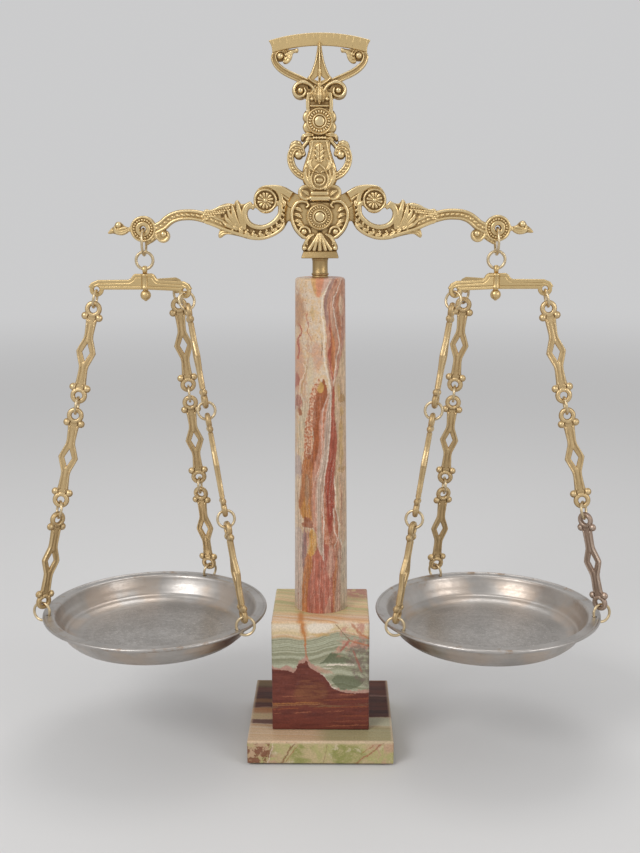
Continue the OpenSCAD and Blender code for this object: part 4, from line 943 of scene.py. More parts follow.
# %% Pieces from points and faces
MARKS = ("hollow", "proud")
SHARP_FROM = math.radians(50)


def add_piece(name, points, faces, material, body, nodes, marks=None):
    mesh = bpy.data.meshes.new(name)
    corners = np.concatenate([f.ravel() for f in faces]).astype(np.int32)
    sizes = np.concatenate([np.full(len(f), f.shape[1]) for f in faces])
    mesh.vertices.add(len(points))
    mesh.vertices.foreach_set("co", np.asarray(points, np.float32).ravel())
    mesh.loops.add(len(corners))
    mesh.loops.foreach_set("vertex_index", corners)
    mesh.polygons.add(len(sizes))
    mesh.polygons.foreach_set("loop_start", (np.cumsum(sizes) - sizes).astype(np.int32))
    mesh.update(calc_edges=True)
    mesh.validate()
    for title, values in (marks or {}).items():
        mesh.attributes.new(title, "FLOAT", "POINT").data.foreach_set("value", values.astype(np.float32))
    mesh.shade_smooth()
    mesh.set_sharp_from_angle(angle=SHARP_FROM)
    mesh.materials.append(material)
    made = bpy.data.objects.new(name, mesh)
    bpy.context.scene.collection.objects.link(made)
    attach(made, body)
    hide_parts(*nodes)
    return made


def add_brass(name, casting, body, node):
    """A brass piece from (points, faces, marks) in the head's plane."""
    points, faces, marks = casting
    add_piece(name, to_world(points), faces, brass, body, [node], marks)
    print(name, len(points), "points")


# %% Smooth curves and turned shapes
def bend_through(points, closed=False, steps=6):
    """A smooth curve through the points."""
    p = np.asarray(points, float)
    n = len(p)
    ends = range(n if closed else n - 1)
    t = np.linspace(0, 1, steps, endpoint=False)[:, None]
    out = []
    for i in ends:
        a, b, c, d = (p[k % n] if closed else p[min(max(k, 0), n - 1)] for k in (i - 1, i, i + 1, i + 2))
        bent = (2 * a - 5 * b + 4 * c - d) * t**2 + (3 * b - a - 3 * c + d) * t**3
        out.append(0.5 * (2 * b + (c - a) * t + bent))
    if not closed:
        out.append(p[-1:])
    return np.concatenate(out)


def lathe(profile, turns=64, closed=False):
    """Points and faces of a profile [(r, z)] turned about z. Ends on the axis are closed by a fan."""
    profile = np.asarray(profile, float)
    n = len(profile)
    a = np.linspace(0, 2 * math.pi, turns, endpoint=False)
    ring = np.stack([np.cos(a), np.sin(a)], axis=1)
    points = np.concatenate([np.column_stack([r * ring, np.full(turns, z)]) for r, z in profile])
    k = np.arange(turns)
    nxt = (k + 1) % turns
    faces = []
    for i in range(n if closed else n - 1):
        j = (i + 1) % n
        faces.append(np.stack([i * turns + k, i * turns + nxt, j * turns + nxt, j * turns + k], axis=1))
    tips = []
    if not closed:
        for row, order in ((0, 1), (n - 1, -1)):
            points = np.concatenate([points, [[0, 0, profile[row, 1]]]])
            tip = np.full(turns, len(points) - 1)
            tips.append(np.stack([tip, row * turns + nxt, row * turns + k], axis=1)[:, ::order])
    return points, faces + tips


print("mesh helpers ready")

# %% [markdown]
# ## The carver's kit
# The head and the beam are castings with deep leaf work. A pattern maker carves such work in relief: first
# the outline, then scrolls, leaves, beads and rings on top of each other, each blended softly into what is
# under it. This kit does the same on a grid of heights. Each stroke follows a curve with its own section,
# and in the end the grid becomes a mesh whose rim is drawn exactly onto the outline. It also notes for each
# point how hollow or proud it is, which the brass material uses for its darkening, partly polish residue and
# partly painted shade, and for its shine.

# %% Sections of a stroke
def round_top(q, side, t):
    return np.sqrt(1 - q * q)


def flat_top(q, side, t):
    return np.clip((1 - q) / 0.3, 0, 1) ** 0.5


def leaf_top(q, side, t):
    """A leaf with a groove along its middle."""
    return np.sqrt(1 - q * q) * (1 - 0.38 * np.exp(-(q / 0.22) ** 2))


def bordered(q, side, t):
    """Two broad rounded borders with a sunk middle."""
    border = np.sqrt(np.clip(1 - ((q - 0.68) / 0.32) ** 2, 0, 1))
    return np.where(q < 0.68, np.maximum(border, 0.3), border)


def beaded(count, slant, floor):
    """Two broad smooth borders and a row of long beads in the groove between them."""
    def section(q, side, t):
        border = np.sqrt(np.clip(1 - ((q - 0.68) / 0.32) ** 2, 0, 1))
        phase = (t * count - slant * q * side) % 1 - 0.5
        bead = np.sqrt(np.clip(1 - (phase / 0.42) ** 2 - (q / 0.34) ** 2, 0, 1))
        return np.where(q < 0.68, np.maximum(border, floor + (0.95 - floor) * bead), border)
    return section


def soft_leaf(q, side, t):
    """A leaf with only a faint groove."""
    return np.sqrt(1 - q * q) * (1 - 0.2 * np.exp(-(q / 0.25) ** 2))


def fluted(count):
    """Parallel flutes along the stroke."""
    def section(q, side, t):
        return np.sqrt(1 - q * q) * (0.8 + 0.2 * np.cos(2 * math.pi * count * (q * side + 1) / 2))
    return section


# %% A grid of heights
class HeightGrid:
    def __init__(self, low, high, cell, ground):
        self.cell = cell
        xs = low[0] + cell * np.arange(round((high[0] - low[0]) / cell) + 1)
        ys = low[1] + cell * np.arange(round((high[1] - low[1]) / cell) + 1)
        self.x, self.y = np.meshgrid(xs, ys)
        self.inside = np.full(self.x.shape, -4.0)
        self.high = np.full(self.x.shape, float(ground))

    def window(self, low, high):
        j0, j1 = [int((v - self.x[0, 0]) / self.cell) for v in (low[0], high[0])]
        i0, i1 = [int((v - self.y[0, 0]) / self.cell) for v in (low[1], high[1])]
        return slice(max(i0, 0), max(i1 + 2, 0)), slice(max(j0, 0), max(j1 + 2, 0))

    def follow(self, path, reach):
        """Distance to a path, the side it lies on and the share of the way along it."""
        best = np.full(self.x.shape, reach * reach)
        side = np.ones(self.x.shape)
        along = np.zeros(self.x.shape)
        step = np.diff(path, axis=0)
        length = np.hypot(step[:, 0], step[:, 1])
        run = np.concatenate([[0], np.cumsum(length)])
        for a, b, d, l, start in zip(path[:-1], path[1:], step, length, run):
            if l < 1e-9:
                continue
            w = self.window(np.minimum(a, b) - reach, np.maximum(a, b) + reach)
            px, py = self.x[w] - a[0], self.y[w] - a[1]
            f = np.clip((px * d[0] + py * d[1]) / (l * l), 0, 1)
            ex, ey = px - f * d[0], py - f * d[1]
            e = ex * ex + ey * ey
            near = e < best[w]
            best[w] = np.where(near, e, best[w])
            side[w] = np.where(near, np.sign(d[0] * ey - d[1] * ex), side[w])
            along[w] = np.where(near, (start + f * l) / run[-1], along[w])
        return np.sqrt(best), side, along

    def blend(self, mask, height, soft):
        now = self.high[mask]
        gap = now - height
        self.high[mask] = (now + height + np.sqrt(gap * gap + soft * soft)) / 2

    def inside_of(self, points, curved=True):
        """How far each grid point lies inside an outline, below zero outside it."""
        loop = bend_through(points, closed=True) if curved else np.asarray(points, float)
        d, _, _ = self.follow(np.concatenate([loop, loop[:1]]), 4.0)
        odd = np.zeros(self.x.shape, bool)
        for (x0, y0), (x1, y1) in zip(loop, np.roll(loop, -1, axis=0)):
            if y0 != y1:
                crossing = (x1 - x0) * (self.y - y0) / (y1 - y0) + x0
                odd ^= ((y0 > self.y) != (y1 > self.y)) & (self.x < crossing)
        return np.where(odd, d, -d)

    def plate(self, points, curved=True, cut=False):
        """Adds an outline to the casting, or cuts it out."""
        signed = self.inside_of(points, curved)
        self.inside = np.minimum(self.inside, -signed) if cut else np.maximum(self.inside, signed)
        return signed

    def disc(self, middle, r, cut=False):
        signed = r - np.hypot(self.x - middle[0], self.y - middle[1])
        self.inside = np.minimum(self.inside, -signed) if cut else np.maximum(self.inside, signed)

    def copy_right_to_left(self):
        middle = self.x.shape[1] // 2
        for field in (self.high, self.inside):
            field[:, :middle] = field[:, :middle:-1]


print("a grid keeps, at each point, its height and how far inside the outline it lies")

# %% [markdown]
# A carver has few tools, and each leaves its own mark: a band along a curve, a stroke that rides on a swell,
# a border, a turned boss, a round bead and a fine groove. Each is one method here, and all blend softly.

# %% The carver's tools
class Carver(HeightGrid):
    def stroke(self, points, widths, top, fall, section=round_top, soft=0.25, grow=False, steps=6):
        """A raised band along a curve: top is its crest, fall how far its border lies below."""
        d, side, t = self.follow(bend_through(points, steps=steps), max(widths) + 1)
        share = np.linspace(0, 1, len(widths))
        w = np.interp(t, share, widths)
        if grow:
            self.inside = np.maximum(self.inside, np.where(d < w + 1, w - d, -4))
        m = d < w
        crest = np.interp(t[m], np.linspace(0, 1, len(np.atleast_1d(top))), np.atleast_1d(top))
        self.blend(m, crest - fall * (1 - section(d[m] / w[m], side[m], t[m])), soft)

    def emboss(self, points, widths, rise, section=round_top, steps=6):
        """A stroke that rides on the swell of what is under it."""
        d, side, t = self.follow(bend_through(points, steps=steps), max(widths) + 1)
        w = np.interp(t, np.linspace(0, 1, len(widths)), widths)
        m = d < w
        self.high[m] += rise * section(d[m] / w[m], side[m], t[m])

    def ridge(self, distance, middle, half, top, fall, where):
        """A rounded border that follows an edge at one distance."""
        q = np.abs(distance - middle) / half
        m = (q < 1) & where
        self.blend(m, top - fall * (1 - np.sqrt(1 - q[m] ** 2)), 0.12)

    def turned(self, middle, profile, soft=None):
        """A round boss with the heights of a turned profile [(radius, height)]."""
        r = np.hypot(self.x - middle[0], self.y - middle[1])
        radii, heights = zip(*profile)
        m = r < radii[-1]
        if soft is None:
            self.high[m] = np.interp(r[m], radii, heights)
        else:
            self.blend(m, np.interp(r[m], radii, heights), soft)

    def bead(self, middle, r, top, squash=1.0, soft=0.12):
        w = self.window(np.asarray(middle) - r, np.asarray(middle) + r)
        q = np.hypot(self.x[w] - middle[0], self.y[w] - middle[1]) / r
        height = top - r * squash * (1 - np.sqrt(np.clip(1 - q * q, 0, 1)))
        now = self.high[w]
        gap = now - height
        raised = (now + height + np.sqrt(gap * gap + soft * soft)) / 2
        self.high[w] = np.where(q < 1, raised, now)

    def beads_round(self, middle, ring, count, r, top, squash=1.0):
        for a in np.arange(count) * 2 * math.pi / count:
            self.bead((middle[0] + ring * math.cos(a), middle[1] + ring * math.sin(a)), r, top, squash)

    def groove(self, points, width, depth, steps=6):
        d, _, _ = self.follow(bend_through(points, steps=steps), width * 3)
        self.high -= depth * np.exp(-(d / width) ** 2) * (d < width * 3)

    def outline_line(self, inset, width, depth):
        """A line engraved at one distance inside the outline."""
        self.high -= depth * np.exp(-((self.inside - inset) / width) ** 2)


print("tools", [name for name in vars(Carver) if not name.startswith("_")])

# %% [markdown]
# The casting takes the grid's cells inside the outline, moves the points at the rim onto it, and adds walls
# and a back. A blurred copy of the heights tells which points lie deeper or higher than what is around them,
# and that gives the darkening in the hollows, partly polish residue and partly painted shade, and the shine
# on the high spots. The side walls and a flat back are darkened a little as painted shade.

# %% From heights to a casting
LEAST_HALF = 0.06
# The last two values darken the side walls and the flat backs of the castings: painted shade.
RIM_ROWS, RIM_BULGE, RIM_WALL_SHADE, FLAT_BACK_SHADE = 2, 0.12, 0.25, 0.3


class Relief(Carver):
    def blurred(self, field, reach):
        fy = np.fft.fftfreq(field.shape[0], self.cell)[:, None]
        fx = np.fft.rfftfreq(field.shape[1], self.cell)[None, :]
        keep = np.exp(-2 * (math.pi * reach) ** 2 * (fx**2 + fy**2))
        return np.fft.irfft2(np.fft.rfft2(field) * keep, field.shape)

    def sample(self, field, x, y):
        fx, fy = (x - self.x[0, 0]) / self.cell, (y - self.y[0, 0]) / self.cell
        j = np.clip(fx.astype(int), 0, field.shape[1] - 2)
        i = np.clip(fy.astype(int), 0, field.shape[0] - 2)
        u, v = fx - j, fy - i
        return (field[i, j] * (1 - u) * (1 - v) + field[i, j + 1] * u * (1 - v)
                + field[i + 1, j] * (1 - u) * v + field[i + 1, j + 1] * u * v)

    def cells(self):
        keep = (self.inside[:-1, :-1] + self.inside[1:, :-1] + self.inside[:-1, 1:]
                + self.inside[1:, 1:]) > 0
        for _ in range(4):
            a, b, c, d = keep[:-1, :-1], keep[:-1, 1:], keep[1:, :-1], keep[1:, 1:]
            one, two = a & d & ~b & ~c, b & c & ~a & ~d
            keep[:-1, 1:] |= one
            keep[:-1, :-1] |= two
        return keep

    def rim_edges(self, keep, index):
        padded = np.pad(keep, 1)
        out = []
        for (di, dj), (a, b) in {(-1, 0): ((0, 0), (0, 1)), (0, 1): ((0, 1), (1, 1)),
                                 (1, 0): ((1, 1), (1, 0)), (0, -1): ((1, 0), (0, 0))}.items():
            beside = padded[1 + di:1 + di + keep.shape[0], 1 + dj:1 + dj + keep.shape[1]]
            i, j = np.nonzero(keep & ~beside)
            out.append(np.stack([index[i + a[0], j + a[1]], index[i + b[0], j + b[1]]], axis=1))
        return np.concatenate(out)

    def casting(self, shoulder, back="mirror"):
        """The mesh: a front face, side walls and a back that mirrors the front or lies at a height."""
        keep = self.cells()
        share = np.zeros(self.x.shape, int)
        for rows, cols in ((0, 0), (0, 1), (1, 0), (1, 1)):
            share[rows:rows + keep.shape[0], cols:cols + keep.shape[1]] += keep
        used = share > 0
        index = np.cumsum(used.ravel()).reshape(used.shape) - 1
        x, y = self.x[used], self.y[used]
        rim_points = share[used] < 4
        gy, gx = np.gradient(self.inside, self.cell)
        bx, by = x[rim_points], y[rim_points]
        for _ in range(2):
            off = self.sample(self.inside, bx, by)
            sx, sy = self.sample(gx, bx, by), self.sample(gy, bx, by)
            size = np.maximum(sx * sx + sy * sy, 0.3)
            bx = bx - np.clip(off * sx / size, -self.cell, self.cell)
            by = by - np.clip(off * sy / size, -self.cell, self.cell)
        x[rim_points], y[rim_points] = bx, by
        level = np.percentile(self.high[self.inside > 0], 15)
        filled = np.where(self.inside > -self.cell, self.high, level)
        deep = self.blurred(filled, 0.9) - filled + 0.5 * (self.blurred(filled, 2.2) - filled)
        hollow = np.clip(deep / 0.75, 0, 1)[used]
        proud = np.clip(-deep / 0.9, 0, 1)[used]
        near = np.clip(np.where(rim_points, 0.0, self.inside[used]), 0, shoulder)
        front = self.high[used] - (shoulder - np.sqrt(np.maximum(shoulder**2 - (shoulder - near) ** 2, 0)))
        i, j = np.nonzero(keep)
        quads = np.stack([index[i, j], index[i, j + 1], index[i + 1, j + 1], index[i + 1, j]], axis=1)
        same = isinstance(back, str)
        if same:
            front = np.maximum(front, LEAST_HALF)
            behind = -front
        else:
            behind = np.broadcast_to(back, self.x.shape)[used]
        points = [np.stack([x, y, front], axis=1), np.stack([x, y, behind], axis=1)]
        n = len(x)
        faces = [quads, quads[:, ::-1] + n]
        edges = self.rim_edges(keep, index)
        ids = np.nonzero(rim_points)[0]
        place = np.full(n, -1)
        place[ids] = np.arange(len(ids))
        outx, outy = -self.sample(gx, x[ids], y[ids]), -self.sample(gy, x[ids], y[ids])
        norm = np.maximum(np.hypot(outx, outy), 1e-6)
        loops = [edges]
        for k in range(1, RIM_ROWS + 1):
            t = k / (RIM_ROWS + 1)
            swell = RIM_BULGE * math.sin(math.pi * t)
            points.append(np.stack([x[ids] + swell * outx / norm, y[ids] + swell * outy / norm,
                                    front[ids] * (1 - t) + behind[ids] * t], axis=1))
            loops.append(place[edges] + 2 * n + (k - 1) * len(ids))
        loops.append(edges + n)
        for upper, under in zip(loops[:-1], loops[1:]):
            faces.append(np.stack([upper[:, 1], upper[:, 0], under[:, 0], under[:, 1]], axis=1))
        # Side walls and flat backs get a fixed darkening: painted shade.
        pad = [np.full(len(ids), RIM_WALL_SHADE)] * RIM_ROWS
        back_hollow = hollow if same else np.full(n, FLAT_BACK_SHADE)
        back_proud = proud if same else np.zeros(n)
        marks = {"hollow": np.concatenate([hollow, back_hollow, *pad]),
                 "proud": np.concatenate([proud, back_proud, *[0 * p for p in pad]])}
        return np.concatenate(points), faces, marks


print("carver's kit ready")

# %% [markdown]
# ## The beam
# The beam is one casting. Each arm has a band of slanted beads, an acanthus leaf, a C-scroll that curls
# round a daisy, a disc with the hanging eye and a bud at the end. The left arm is the right one mirrored,
# and the back is like the front, so the work is done once. Between the two halves of the head the beam is
# only a thin plate.

# %% Outlines of the right arm
ARM_OUTLINE = [(13, 15.2), (18, 17.6), (22, 19.9), (25.4, 22), (29, 23.6), (34, 24.6), (39.1, 24.7),
               (44.2, 24.2), (47.9, 22.5), (50.8, 19), (52.5, 14.5), (52.4, 10.6), (53.2, 9.6), (55.4, 12),
               (57.4, 11.2), (59.8, 10.2), (62.8, 10.2), (65.2, 13), (67, 12.2), (68.2, 10), (71.1, 10.5),
               (74.1, 10.5), (77.2, 9.7), (80.2, 8.5), (82.7, 7), (87.3, 5.5), (90.3, 6), (92.4, 4.2),
               (94, 0), (91.3, -4.9), (88.3, -6.1), (83.2, -8.1), (79.7, -9.9), (80.2, -11.1), (81, -14.6),
               (80.2, -16.4), (78.7, -16.1), (75.7, -14.1), (73.1, -13.6), (68, -14.4), (63, -15.6),
               (58.7, -16.9), (54, -17.9), (49, -18.2), (44.2, -17.7), (39.1, -16.1), (34, -13.6),
               (29, -9.6), (25.4, -3.6), (22.5, -1.6), (19, 2), (13, 5)]
SCROLL_HOLE = [(33.3, 8.5), (33.3, 3.5), (34.9, 0.4), (37.9, -2.6), (41.9, -5.1), (46.5, -6.3),
               (51.1, -5.8), (54.6, -4.1), (56.9, -1.1), (57.6, 2.5), (56.9, 5), (55.1, 6.5), (53.1, 5.5),
               (51.6, 7), (49.5, 6), (46.5, 3.5), (42.5, 2.7), (38.4, 4), (35.6, 7)]
TUFTS = [(29.4, 10.8), (27.8, 6.8), (27.5, 2.9), (29, -1.4), (32.2, -5.6), (36.2, -8.9), (40.6, -11.6),
         (45.8, -13), (51.4, -13.2), (56.8, -12.3), (61.6, -10.3), (66, -7.9), (70.6, -6.3)]
ARM_BAND = [(131.5, -9.5), (125.5, -6.5), (122, -3.4), (117.9, -0.65), (112.6, 1.2), (107, 1.75),
            (101.9, 1.7), (97, 1), (91, -0.6), (85.8, -2.4), (81.7, -4.1), (78, -5.6), (75, -7),
            (71, -8.4)]
LOWER_BORDER = [(91, -4.6), (84, -7), (76, -9.6), (68, -12.2), (60, -14.6), (52, -16.3), (46, -16.7)]
TAIL = [(67, -13), (73, -12.2), (77.4, -12.6), (80, -15)]
UPPER_SWELL = [(15, 9.6), (21, 13.4), (27, 18), (33.4, 21.4), (40, 22.8), (46.4, 21.6), (50.2, 17.6),
               (51, 12.6)]
BUD = [(150.6, -7.4), (153, -8), (156.2, -7), (158.3, -4.9), (160.4, -3.6), (162.6, -4.3), (164.1, -7),
       (166.8, -9.1), (169.2, -12.2), (167.9, -13), (164.7, -12.8), (161.5, -13.8), (157.8, -14.1),
       (154.6, -12.8), (152.7, -11.2), (150.6, -11.4)]
END_LEAF = [(128.6, -12.6), (131.7, -14.9), (135, -17.6), (138, -21)]
EYE, DAISY, END_LOBE = (ARM_L, -9.3), (43.1, 12.7), (125.3, -14.9)
EYE_R, EYE_HOLE_R, DAISY_R, END_LOBE_R = 10.3, 2.3, 9.3, 5.2
HEAD_REACH, INSIDE_HEAD = 26.4, 2.8


# %% Carving the arm
def carve_scroll(arm, from_rim, from_hole):
    """The C: a smooth border on each side and a row of curling tufts in the hollow between them."""
    arm.high = arm.high - 0.5 * np.clip((60 - arm.x) / 4, 0, 1) * np.clip((14 - arm.y) / 6, 0, 1)
    arm.stroke(UPPER_SWELL, [4.6, 4.4, 3.4, 2.4, 1.9, 1.3], [3.6, 4.3, 4.7, 4.8, 4.7], 1.0, round_top, 0.2)
    for line in ([(22, 12.4), (28, 16.6), (34, 19.4), (40, 20.4), (45, 19)],
                 [(19, 8), (24, 10.6), (28.6, 14.6), (32, 17)], [(22, 6.6), (25.6, 8.4), (28.4, 11.8)]):
        arm.groove(line, 0.4, 0.7)
    arm.ridge(from_rim, 1.35, 1.35, 4.7, 1.3, arm.x < 58)
    off_daisy = np.hypot(arm.x - DAISY[0], arm.y - DAISY[1])
    arm.ridge(from_hole, 1.9, 1.9, 4.8, 1.1, (arm.x < 60) & (off_daisy > DAISY_R))
    arm.ridge(off_daisy, 12.4, 1.9, 4.3, 0.9, (arm.x < DAISY[0] - 4) & (arm.y > 6))
    turn = np.arctan2(arm.y - DAISY[1], arm.x - DAISY[0])
    arm.high -= 0.8 * np.exp(-((off_daisy - 10.1) / 0.45) ** 2) * np.clip((turn - 0.6) / 0.4, 0, 1)
    for (x, y), (nx, ny) in zip(TUFTS[:-1], TUFTS[1:]):
        dx, dy = (nx - x) / math.hypot(nx - x, ny - y), (ny - y) / math.hypot(nx - x, ny - y)
        curl = [(x - 2.0 * dx + 0.6 * dy, y - 2.0 * dy - 0.6 * dx),
                (x - 0.4 * dx + 1.3 * dy, y - 0.4 * dy - 1.3 * dx),
                (x + 1.6 * dx + 0.7 * dy, y + 1.6 * dy - 0.7 * dx),
                (x + 2.1 * dx - 0.9 * dy, y + 2.1 * dy + 0.9 * dx)]
        arm.stroke(curl, [0.8, 1.8, 1.7, 0.9], [4.2, 4.9, 5.0, 4.5], 1.5, leaf_top, 0.1, steps=4)
        arm.bead((x + 1.3 * dx - 1.6 * dy, y + 1.3 * dy + 1.6 * dx), 1.1, 4.7)


# %% The arm's leaf
def carve_leaf(arm):
    """The acanthus: scales above, then long blades that fan out of the C and curl at their tips."""
    for row in range(6):
        for col in range(11):
            at = (71.4 + 1.95 * col + 0.98 * (row % 2), 8.8 - 1.7 * row - 0.22 * col)
            if at[1] > 4.4 - 0.34 * (at[0] - 72):
                arm.bead(at, 1.05, 4.3, 0.9)
    blades = [
        ([(60, -9), (60.2, -3), (60, 3), (58.4, 8), (54.8, 10.4), (53, 8.6)],
         [1.4, 2.0, 2.3, 2.0, 1.6, 1.0]),
        ([(61.4, -9), (62.8, -3), (64, 4), (65.4, 11.6)], [1.2, 1.7, 2.0, 0.9]),
        ([(63.4, -9), (65.8, -4), (68, 1.4), (69.4, 8.6)], [1.2, 1.6, 1.9, 0.8]),
        ([(65.4, -8), (68.6, -3.4), (71.2, 0.8), (73, 5.2)], [1.1, 1.5, 1.7, 0.7]),
        ([(67.2, -8), (71, -4.6), (74, -1.4), (75, 1.8)], [1.0, 1.4, 1.6, 0.7]),
        ([(69, -8.8), (73, -6.8), (76.6, -4.4)], [1.0, 1.5, 0.8])]
    for blade, widths in blades[::-1]:
        arm.stroke(blade, [1.15 * w for w in widths], [4.4, 4.9, 5.2, 4.7], 1.5, soft_leaf, 0.2)
    arm.high -= 1.0 * np.exp(-((arm.x - 77.6) ** 2 + (arm.y - 0.6) ** 2) / 1.6)
    arm.stroke([(71.4, 9.2), (78, 7.9), (85, 5.4), (91.6, 4.4)], [1.1, 1.2, 1.1, 0.7], [4.6, 4.6, 4.2], 1.1)
    arm.stroke(LOWER_BORDER, [1.2, 1.4, 1.5, 1.5, 1.4], [4.2, 4.7, 4.7], 1.3, round_top, 0.15)
    arm.stroke(TAIL, [0.9, 1.9, 2.3, 1.3], [4.2, 4.3, 4.1, 3.6], 1.5, leaf_top, 0.12)


# %% The arm's daisy, eye and ends
def carve_rounds(arm):
    arm.turned(DAISY, [(0, 3.3), (6.6, 3.3), (7.1, 3.3), (7.4, 3.6), (7.7, 4.5), (8.4, 4.9), (8.9, 4.7),
                       (9.3, 4.0)])
    petals = 12
    for k in range(petals):
        a = 0.3 + k * 2 * math.pi / petals
        petal = [(DAISY[0] + r * math.cos(a), DAISY[1] + r * math.sin(a)) for r in (1.7, 3.8, 5.4)]
        arm.stroke(petal, [0.5, 1.0, 1.3], [4.4, 4.8, 4.8], 1.3, round_top, 0.05, steps=3)
    arm.bead(DAISY, 1.8, 5.2, 0.7)
    arm.turned(EYE, [(0, 3.2), (2.4, 3.3), (2.9, 3.8), (3.5, 4.0), (5.2, 4.0), (5.8, 3.6), (6.1, 3.0),
                     (8.2, 3.0), (8.6, 3.5), (9.2, 3.9), (9.8, 3.8), (10.3, 3.5)])
    arm.beads_round(EYE, 7.15, 21, 0.98, 3.9, 0.9)


def carve_ends(arm):
    """The arm curls into a knob beside the eye disc, and beyond it a bud ends the beam."""
    arm.turned(END_LOBE, [(0, 3.2), (2.6, 3.3), (4.2, 2.9), (5.2, 2.2)], 0.2)
    arm.stroke([(120.9, -11.6), (120.9, -15.6), (123.4, -18.6), (127.2, -18.8), (130.4, -16.2),
                (131.4, -12.4)], [1.0, 1.5, 1.7, 1.6, 1.2], [3.8, 4.1, 3.9], 1.2)
    arm.bead((124.6, -13.4), 2.7, 4.7, 0.9)
    arm.stroke(END_LEAF, [1.4, 2.3, 2.2, 0.8], [3.3, 3.7, 3.4, 2.4], 1.5, leaf_top)
    for x, y in ((130.6, -15.6), (133.4, -18.2), (135.8, -20.4)):
        arm.stroke([(x + 1.2, y + 1.4), (x, y), (x - 0.4, y - 1.4)], [0.9, 1.0, 0.5], 3.2, 1.2, steps=3)
    bud = arm.inside_of(BUD)
    domed = 1.4 + 2.4 * np.sqrt(np.clip(np.minimum(bud, 4) / 4, 0, 1))
    arm.blend(bud > 0, domed[bud > 0], 0.1)
    arm.stroke([(152, -9.4), (155.4, -11.4), (159.4, -12.2), (162.8, -10.6), (163.4, -7.4)],
               [1.4, 2.1, 2.3, 1.8, 1.0], [3.5, 4.2, 4.5, 4.2], 1.6, soft_leaf, 0.12)
    arm.stroke([(154.6, -8.6), (157.6, -8.8), (159.4, -9.4)], [0.9, 1.4, 0.9], [3.9, 4.2], 1.3)
    arm.stroke([(163.4, -10), (166.2, -10.9), (169, -12.4)], [1.6, 1.3, 0.4], [3.4, 2.6, 1.2], 1.2)
    arm.bead((160.5, -6.2), 2.5, 4.9, 0.9)
    arm.stroke([(151.7, -7.4), (151.7, -11.4)], [1.1], 3.6, 1.2)


# %% Cast the arms
arm = Relief((13, -26), (170, 27), 0.27, 2.9)
from_rim = arm.plate(ARM_OUTLINE)
from_hole = -arm.plate(SCROLL_HOLE, cut=True)
arm.high[arm.inside > 0] = 3.4
arm.disc(DAISY, DAISY_R)
arm.stroke(ARM_BAND, [4.2, 4.2, 4.2, 3.4], 2.9, 0.5, grow=True)
arm.stroke(END_LEAF, [1.8, 2.6, 2.4, 0.9], 2.6, 0.5, grow=True)
arm.plate(BUD)
for round_middle, r in ((EYE, EYE_R), (END_LOBE, END_LOBE_R)):
    arm.disc(round_middle, r)
carve_scroll(arm, from_rim, from_hole)
arm.stroke(ARM_BAND, [4.2, 4.2, 4.2, 3.4], [3.7, 3.9, 4.0, 4.3], 1.6, beaded(16.5, 0.4, 0.1), 0.1)
carve_leaf(arm)
carve_ends(arm)
carve_rounds(arm)
arm.disc(EYE, EYE_HOLE_R, cut=True)
clear = np.clip((np.hypot(arm.x, arm.y) - HEAD_REACH) / 3.5, 0, 1)
arm.high = np.minimum(arm.high, INSIDE_HEAD + 2.7 * clear * clear * (3 - 2 * clear))
right_arm = arm.casting(shoulder=0.7)
add_brass("arm_right", right_arm, "beam", "beam")
add_brass("arm_left", (*mirrored(*right_arm[:2]), right_arm[2]), "beam", "beam")
print("thickest", round(2 * right_arm[0][:, 2].max(), 1), "mm")

# %% The thin middle of the beam
BEAM_CENTRE = [(0, 9.5), (8, 10.4), (14, 14), (20, 17.4), (27, 19.4), (27, -3), (20, -4.4), (12, -8),
               (0, -10)]
PLATE_FRONT, PLATE_BACK = 0.6, -2.6
BOSS_R, PIN_R, POINTER_SCREWS, POINTER_SCREW_R = 9.6, 2.5, (11, 15.6), 1.05
middle = Relief((-27.6, -12), (27.6, 21), 0.4, PLATE_FRONT)
middle.plate(BEAM_CENTRE + [(-x, y) for x, y in BEAM_CENTRE[-2:0:-1]], curved=False)
middle.disc((0, 0), BOSS_R)
middle.disc((0, 0), PIN_R, cut=True)
for y in POINTER_SCREWS:
    middle.disc((0, y), POINTER_SCREW_R, cut=True)
add_brass("beam_middle", middle.casting(shoulder=0.3, back=PLATE_BACK), "beam", "beam")

# %% [markdown]
# ## The head
# The head is two castings screwed together with a gap for the beam. The front one has a fluted foot, a
# shield with scrolls and the big rosette, an urn with two handles, a collar of leaves, the small rosette and
# two volutes. The back one is the same pattern turned round, with flat seats for the screw heads. Only the
# right half is carved, and the left half is copied from it.

# %% Outlines of the head
SHIELD = [(0, 12), (9, 12.9), (13.5, 13.7), (18.6, 12), (22.3, 7), (23.6, 1.5), (22.6, -5), (19.9, -10.8),
          (15.8, -15.4), (12, -17.4), (0, -17.4)]
FOOT = [(0, -16), (10.6, -16.5), (12.4, -19.6), (13.9, -22.6), (14.2, -25), (13.2, -26.8), (0, -26.8)]
URN = [(0, 19), (7, 20.4), (11, 23.4), (13.3, 28), (13.7, 33), (12.6, 38.5), (10.9, 43.5), (9.3, 48.5),
       (8.2, 53), (8.2, 60), (0, 60)]
HANDLE = [(12.2, 31), (17, 33.6), (21.2, 38.6), (22.8, 45), (21.4, 50.6), (18, 53), (14.6, 52),
          (13.2, 48.6)]
TUFT = [(14.6, 54.6), (17.4, 56.2), (20.4, 55.6), (22.4, 53)]
COLLAR_LINK = [(13.6, 52.6), (11.4, 55.4), (9, 58)]
LEAF_COLLAR = [(0, 57), (7, 57.4), (9.4, 57.6), (11.6, 58.8), (12.8, 57.6), (14.5, 58.4), (14.5, 61),
               (13, 63.2), (9.6, 64.2), (0, 64)]
SIDE_LOBES = [(0, 62), (9, 63.4), (12, 65.8), (13, 68.8), (11.8, 72.2), (13, 75.2), (12, 78.8),
              (9.4, 81.2), (0, 81)]
NECK = [(0, 79), (9.4, 79), (10.3, 83), (10.4, 88), (9.6, 93), (8, 97), (0, 99)]
